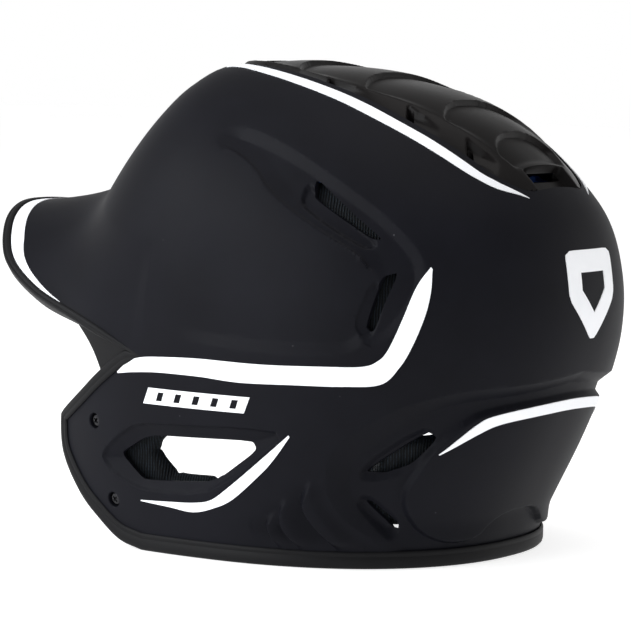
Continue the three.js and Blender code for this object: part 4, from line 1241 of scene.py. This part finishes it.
def web_parts(side):
    """The web that closes the corner between bill and flap, with a hollow free edge."""
    s, t = np.meshgrid(np.linspace(0, 1, 25), np.linspace(0, 1, 17), indexing="ij")
    along_bill = bill_edge(lerp(0.985, 0.80, s))
    along_flap = flap_front(lerp(0.0, 0.47, s), np.zeros(s.shape))[0]
    notch = bill_edge(np.array(0.985))
    p = lerp(along_bill, along_flap, t[..., None])
    pull = (0.06 * np.sin(math.pi * t) * s ** 2)[..., None]
    p = lerp(p, notch, pull)
    out = np.cross(bill_edge(np.array(0.80)) - notch, flap_front(0.47, 0.0)[0] - notch)
    out = unit(out * np.sign(out[0]))
    dish = (0.5 + 0.9 * np.sin(math.pi * t) * s)[..., None]
    face, rear = p - out * dish, p - out * 3.6
    points, faces = closed_solid(face.reshape(-1, 3), rear.reshape(-1, 3), grid_faces(24, 16))
    return points * np.array([side, 1, 1]), faces.tolist()


moulding_parts += [web_parts(1), web_parts(-1)]
moulding = joined(moulding_parts, "rubber_moulding")
shade(moulding, 45)
dress(moulding, rubber_black, "moulding_black", ROOT, "edge_moulding")


# ---- jaw-guard screws ----
SHANK_R = 2.0
SHANK_END = -11.5


def screw_piece(name, node):
    joint = next(j for j in frame["joints"] if j["child"] == node)
    axis = Vector(joint["axis"]).normalized()
    origin = Vector(joint["pos_m"]) / MM - Vector(OFFSET)
    top_of_head = HEAD_FLOOR + 1.5
    dome = [(HEAD_R - in_by, top_of_head - down)
            for in_by, down in ((1.2, 0.03), (0.6, 0.15), (0.2, 0.42), (0, 0.85))]
    profile = [(0, top_of_head), *dome, (HEAD_R, HEAD_FLOOR), (SHANK_R, HEAD_FLOOR),
               (SHANK_R, SHANK_END + 0.6), (SHANK_R - 0.6, SHANK_END), (0, SHANK_END)]
    obj = make(name, *lathe_parts(profile, origin, axis, 40))
    turn = Vector((0, 0, 1)).rotation_difference(axis).to_matrix()
    for quarter in (0, math.pi / 2):
        spin = Matrix.Rotation(quarter + 0.5, 3, "Z")
        outline = [(-1.75, 0.25), (1.75, 0.25), (0.7, -1.05), (-0.7, -1.05)]
        points = []
        for y in (-0.45, 0.45):
            points += [turn @ (spin @ Vector((x, y, top_of_head + h))) + origin for x, h in outline]
        faces = [[0, 1, 2, 3], [7, 6, 5, 4], [0, 4, 5, 1], [1, 5, 6, 2], [2, 6, 7, 3], [3, 7, 4, 0]]
        carve(obj, joined([(np.array([list(q) for q in points]), faces)]), solver="EXACT")
    shade(obj, 35)
    return dress(obj, screw_black, "screw_black", node, node)


for side, _ in SIDES:
    for row in SCREWS:
        screw_piece(f"cross_head_{row}_{side}", f"jaw_guard_screw_{row}_{side}")
        nut = frame["nodes"][f"jaw_guard_nut_{row}_{side}"]
        nut.data.materials.clear()
        nut.data.materials.append(nut_zinc)


# ---- foam liner and comfort pads ----
def places_of(mesh):
    flat = np.zeros(len(mesh.vertices) * 3, np.float32)
    mesh.vertices.foreach_get("co", flat)
    return flat.reshape(-1, 3)


def normals_of(mesh):
    flat = np.zeros(len(mesh.vertices) * 3, np.float32)
    mesh.vertex_normals.foreach_get("vector", flat)
    return flat.reshape(-1, 3)


def move_to(obj, places):
    obj.data.vertices.foreach_set("co", places.astype(np.float32).reshape(-1))
    obj.data.update()


def soft_copy(name, node, voxel, shrink):
    """A CAD soft solid remeshed evenly, rounded a little and drawn in by shrink."""
    source = frame["nodes"][node].data.copy()
    obj = link(name, source)
    work = bmesh.new()
    work.from_mesh(source)
    bmesh.ops.remove_doubles(work, verts=work.verts, dist=0.00001)
    bmesh.ops.recalc_face_normals(work, faces=work.faces)
    work.to_mesh(source)
    work.free()
    remesh = obj.modifiers.new("remesh", "REMESH")
    remesh.mode = "VOXEL"
    remesh.voxel_size = voxel
    settle(obj, remesh)
    even = obj.modifiers.new("even", "SMOOTH")
    even.factor = 0.5
    even.iterations = 3
    settle(obj, even)
    move_to(obj, places_of(obj.data) - normals_of(obj.data) * shrink)
    return obj


CLOTH_FRAMES = 20


def inflate(obj, cap):
    """Blows the pad up as cloth, and keeps each point within cap of where it was."""
    scene = bpy.context.scene
    cloth = obj.modifiers.new("cloth", "CLOTH")
    cloth.settings.quality = 5
    cloth.settings.mass = 0.3
    cloth.settings.tension_stiffness = 15
    cloth.settings.compression_stiffness = 15
    cloth.settings.bending_stiffness = 0.5
    cloth.settings.use_pressure = True
    cloth.settings.uniform_pressure_force = 4
    cloth.settings.effector_weights.gravity = 0
    cloth.collision_settings.use_collision = False
    before = places_of(obj.data)
    for step in range(1, CLOTH_FRAMES + 1):
        scene.frame_set(step)
    shaped = obj.evaluated_get(bpy.context.evaluated_depsgraph_get())
    after = places_of(shaped.data).copy()
    obj.modifiers.remove(cloth)
    scene.frame_set(1)
    move = after - before
    length = np.linalg.norm(move, axis=1, keepdims=True)
    move *= np.minimum(1, cap / np.maximum(length, 1e-9))
    move_to(obj, before + move)


def subdivide(obj):
    rounder = obj.modifiers.new("rounder", "SUBSURF")
    rounder.levels = 1
    rounder.render_levels = 1
    settle(obj, rounder)


def groove(obj, pitch, depth=1.3, width=1.6):
    """Sewn seams: pulls the cover in along evenly spaced lines that run up and down the pad."""
    places = places_of(obj.data)
    design = places / MM - OFFSET
    round_way = unroll(design)[:, 0] if np.abs(design[:, 0]).mean() > 30 else design[:, 0] + 0.5 * pitch
    to_seam = np.abs((round_way / pitch) % 1 - 0.5) * pitch
    pull = depth * np.exp(-((to_seam / width) ** 2))
    move_to(obj, places - normals_of(obj.data) * (pull * MM)[:, None])


PADS = {
    "brow_pad": 2.2, "temple_pad": 2.4, "side_pad": 2.4, "rear_pad": 2.4, "nape_pad": 2.4,
    "crown_pad": 2.6, "ear_pad": 2.2,
}
PAIRED = ("temple_pad", "side_pad", "ear_pad")


def flip_copy(obj, name):
    mesh = obj.data.copy()
    mesh.transform(Matrix.Scale(-1, 4, (1, 0, 0)))
    mesh.flip_normals()
    return link(name, mesh)


LIP_RISE = 7.0


def raise_lip(obj):
    """Lifts the floor of the ear pad's opening, more the deeper it lies inside the helmet."""
    places = places_of(obj.data)
    design = places / MM - OFFSET
    surface = left_side(design[:, 1], np.clip(design[:, 2], 12, 84))[0]
    depth = np.clip((surface[:, 0] - design[:, 0] - 5) / 11, 0, 1)
    z = design[:, 2]
    share = smooth((z - 18) / 14) * (1 - smooth((z - 40) / 6))
    share *= smooth((design[:, 1] + 26) / 8) * smooth((50 - design[:, 1]) / 10)
    places[:, 2] += (LIP_RISE * MM * share * depth).astype(np.float32)
    move_to(obj, places)


NAPE_REACH = math.radians(4.0)
NAPE_DROP = 2.0


def widen_nape(obj):
    """Draws the ends of the nape pad forward and down, to lie behind the lower rear vents."""
    places = places_of(obj.data)
    design = places / MM - OFFSET
    angle = np.arctan2(design[:, 1] - 20, np.abs(design[:, 0]))
    share = smooth((math.radians(62) - angle) / math.radians(20))
    places[:, 2] -= NAPE_DROP * MM * share * smooth((40 - design[:, 2]) / 20)
    turn = -NAPE_REACH * share * np.sign(design[:, 0])
    x, y = design[:, 0].copy(), design[:, 1] - 20
    places[:, 0] = (x * np.cos(turn) - y * np.sin(turn) + OFFSET[0]) * MM
    places[:, 1] = (x * np.sin(turn) + y * np.cos(turn) + 20 + OFFSET[1]) * MM
    move_to(obj, places)


def finish_soft(obj, material, slot, node, smoothing, fill):
    shade(obj, smoothing)
    dress(obj, material, slot, ROOT, node)


PAD_FINISH = (mesh_fabric, "mesh_fabric")
FOAM_FINISH = (foam_blue, "foam_blue")
WIDE_QUILT = ("brow_pad", "nape_pad", "ear_pad")
for pad, cap in PADS.items():
    node = f"{pad}_left" if pad in PAIRED else pad
    cover = soft_copy(f"{pad}_cover_left" if pad in PAIRED else f"{pad}_cover", node, 0.0045, 0.0016)
    if pad == "ear_pad":
        raise_lip(cover)
    if pad == "nape_pad":
        widen_nape(cover)
    inflate(cover, cap * MM)
    subdivide(cover)
    groove(cover, 26.0 if pad in WIDE_QUILT else 22.0)
    finish_soft(cover, *PAD_FINISH, node, 180, 0.7)
    if pad in PAIRED:
        finish_soft(flip_copy(cover, f"{pad}_cover_right"), *PAD_FINISH, f"{pad}_right", 180, 0.7)


def face_with_mesh(obj):
    """Gives a side block the knitted mesh on the face that shows through the shell's vents; only the left block
    keeps it, since the right copy's materials are cleared.
    """
    obj.data.materials.append(mesh_fabric)
    for polygon in obj.data.polygons:
        if polygon.normal.x > 0.35:
            polygon.material_index = 1


for liner in ("front_foam_liner", "rear_foam_liner", "crown_foam_liner", "side_foam_liner_left"):
    block = soft_copy(liner.replace("_liner", "_block"), liner, 0.004, 0.0003)
    subdivide(block)
    finish_soft(block, *FOAM_FINISH, liner, 50, 1.0)
    if liner.startswith("side"):
        face_with_mesh(block)
        twin = flip_copy(block, "side_foam_block_right")
        finish_soft(twin, *FOAM_FINISH, "side_foam_liner_right", 50, 1.0)

# ---- floor, light and camera ----
FLOOR_HALF = 6.0
floor_mesh = bpy.data.meshes.new("floor")
corners = [(x * FLOOR_HALF, y * FLOOR_HALF, 0) for x, y in ((-1, -1), (1, -1), (1, 1), (-1, 1))]
floor_mesh.from_pydata(corners, [], [(0, 1, 2, 3)])
floor = link("floor", floor_mesh)
floor.location.z = -0.0002
paper, tree, shader = new_material("floor_paper", (0.6, 0.6, 0.6), 0.9, specular=0.1)
tone = ramp(tree, noise(tree, coordinates(tree), 3, 2), 0.3, 0.7, ((0.58, 0.58, 0.58), (0.62, 0.62, 0.62)))
tree.links.new(tone, shader.inputs["Base Color"])
shader.inputs["Emission Color"].default_value = (1, 1, 1, 1)
shader.inputs["Emission Strength"].default_value = 0.74
floor_mesh.materials.append(paper)

CAMERA_AZIMUTH = math.radians(31.5)
CAMERA_ELEVATION = math.radians(5.0)
CAMERA_ROLL = math.radians(1.5)
CAMERA_DISTANCE = 1.5
CAMERA_TARGET = Vector((-0.0027, 0.00535, 0.0982))
CAMERA_LENS = 189.7
towards = Vector((math.cos(CAMERA_AZIMUTH) * math.cos(CAMERA_ELEVATION),
                  math.sin(CAMERA_AZIMUTH) * math.cos(CAMERA_ELEVATION), math.sin(CAMERA_ELEVATION)))
level_right = Vector((-math.sin(CAMERA_AZIMUTH), math.cos(CAMERA_AZIMUTH), 0))
level_up = towards.cross(level_right)
right = level_right * math.cos(CAMERA_ROLL) + level_up * math.sin(CAMERA_ROLL)
up = level_up * math.cos(CAMERA_ROLL) - level_right * math.sin(CAMERA_ROLL)
camera = link("camera", bpy.data.cameras.new("camera"))
camera.data.lens = CAMERA_LENS
camera.data.sensor_width = 36
camera.data.clip_end = 50
spot = CAMERA_TARGET + towards * CAMERA_DISTANCE
camera.matrix_world = Matrix((
    (right.x, up.x, towards.x, spot.x), (right.y, up.y, towards.y, spot.y),
    (right.z, up.z, towards.z, spot.z), (0, 0, 0, 1)))
bpy.context.scene.camera = camera


def area_light(name, place, target, size, power, color):
    light = bpy.data.lights.new(name, "AREA")
    light.shape = "RECTANGLE"
    light.size, light.size_y = size
    light.energy = power
    light.color = color
    obj = link(name, light)
    obj.location = place
    obj.rotation_mode = "QUATERNION"
    obj.rotation_quaternion = (Vector(target) - Vector(place)).to_track_quat("-Z", "Y")


area_light("key", (1.1, -1.5, 1.5), (0, 0, 0.1), (1.4, 1.0), 30, (0.96, 0.98, 1.0))
area_light("side", (1.5, -0.5, 0.6), (0, 0, 0.1), (1.2, 1.2), 18, (0.96, 0.98, 1.0))
area_light("crown", (-0.1, 0.2, 1.9), (0, 0, 0.15), (1.2, 1.6), 12, (1.0, 0.98, 0.97))
area_light("rim", (-1.3, 1.5, 0.9), (0, 0, 0.12), (0.8, 1.2), 1.5, (1.0, 0.96, 0.93))
world = bpy.data.worlds.new("studio")
bpy.context.scene.world = world
world.use_nodes = True
tree = world.node_tree
sky = tree.nodes["Background"]
direction = tree.nodes.new("ShaderNodeTexCoord")
split = tree.nodes.new("ShaderNodeSeparateXYZ")
tree.links.new(direction.outputs["Generated"], split.inputs["Vector"])
tree.links.new(ramp(tree, split.outputs["Z"], 0.10, 0.45, ((1, 1, 1), (0.35, 0.35, 0.35))), sky.inputs["Color"])
sky.inputs["Strength"].default_value = 1.0
bpy.context.scene.view_settings.view_transform = "Standard"
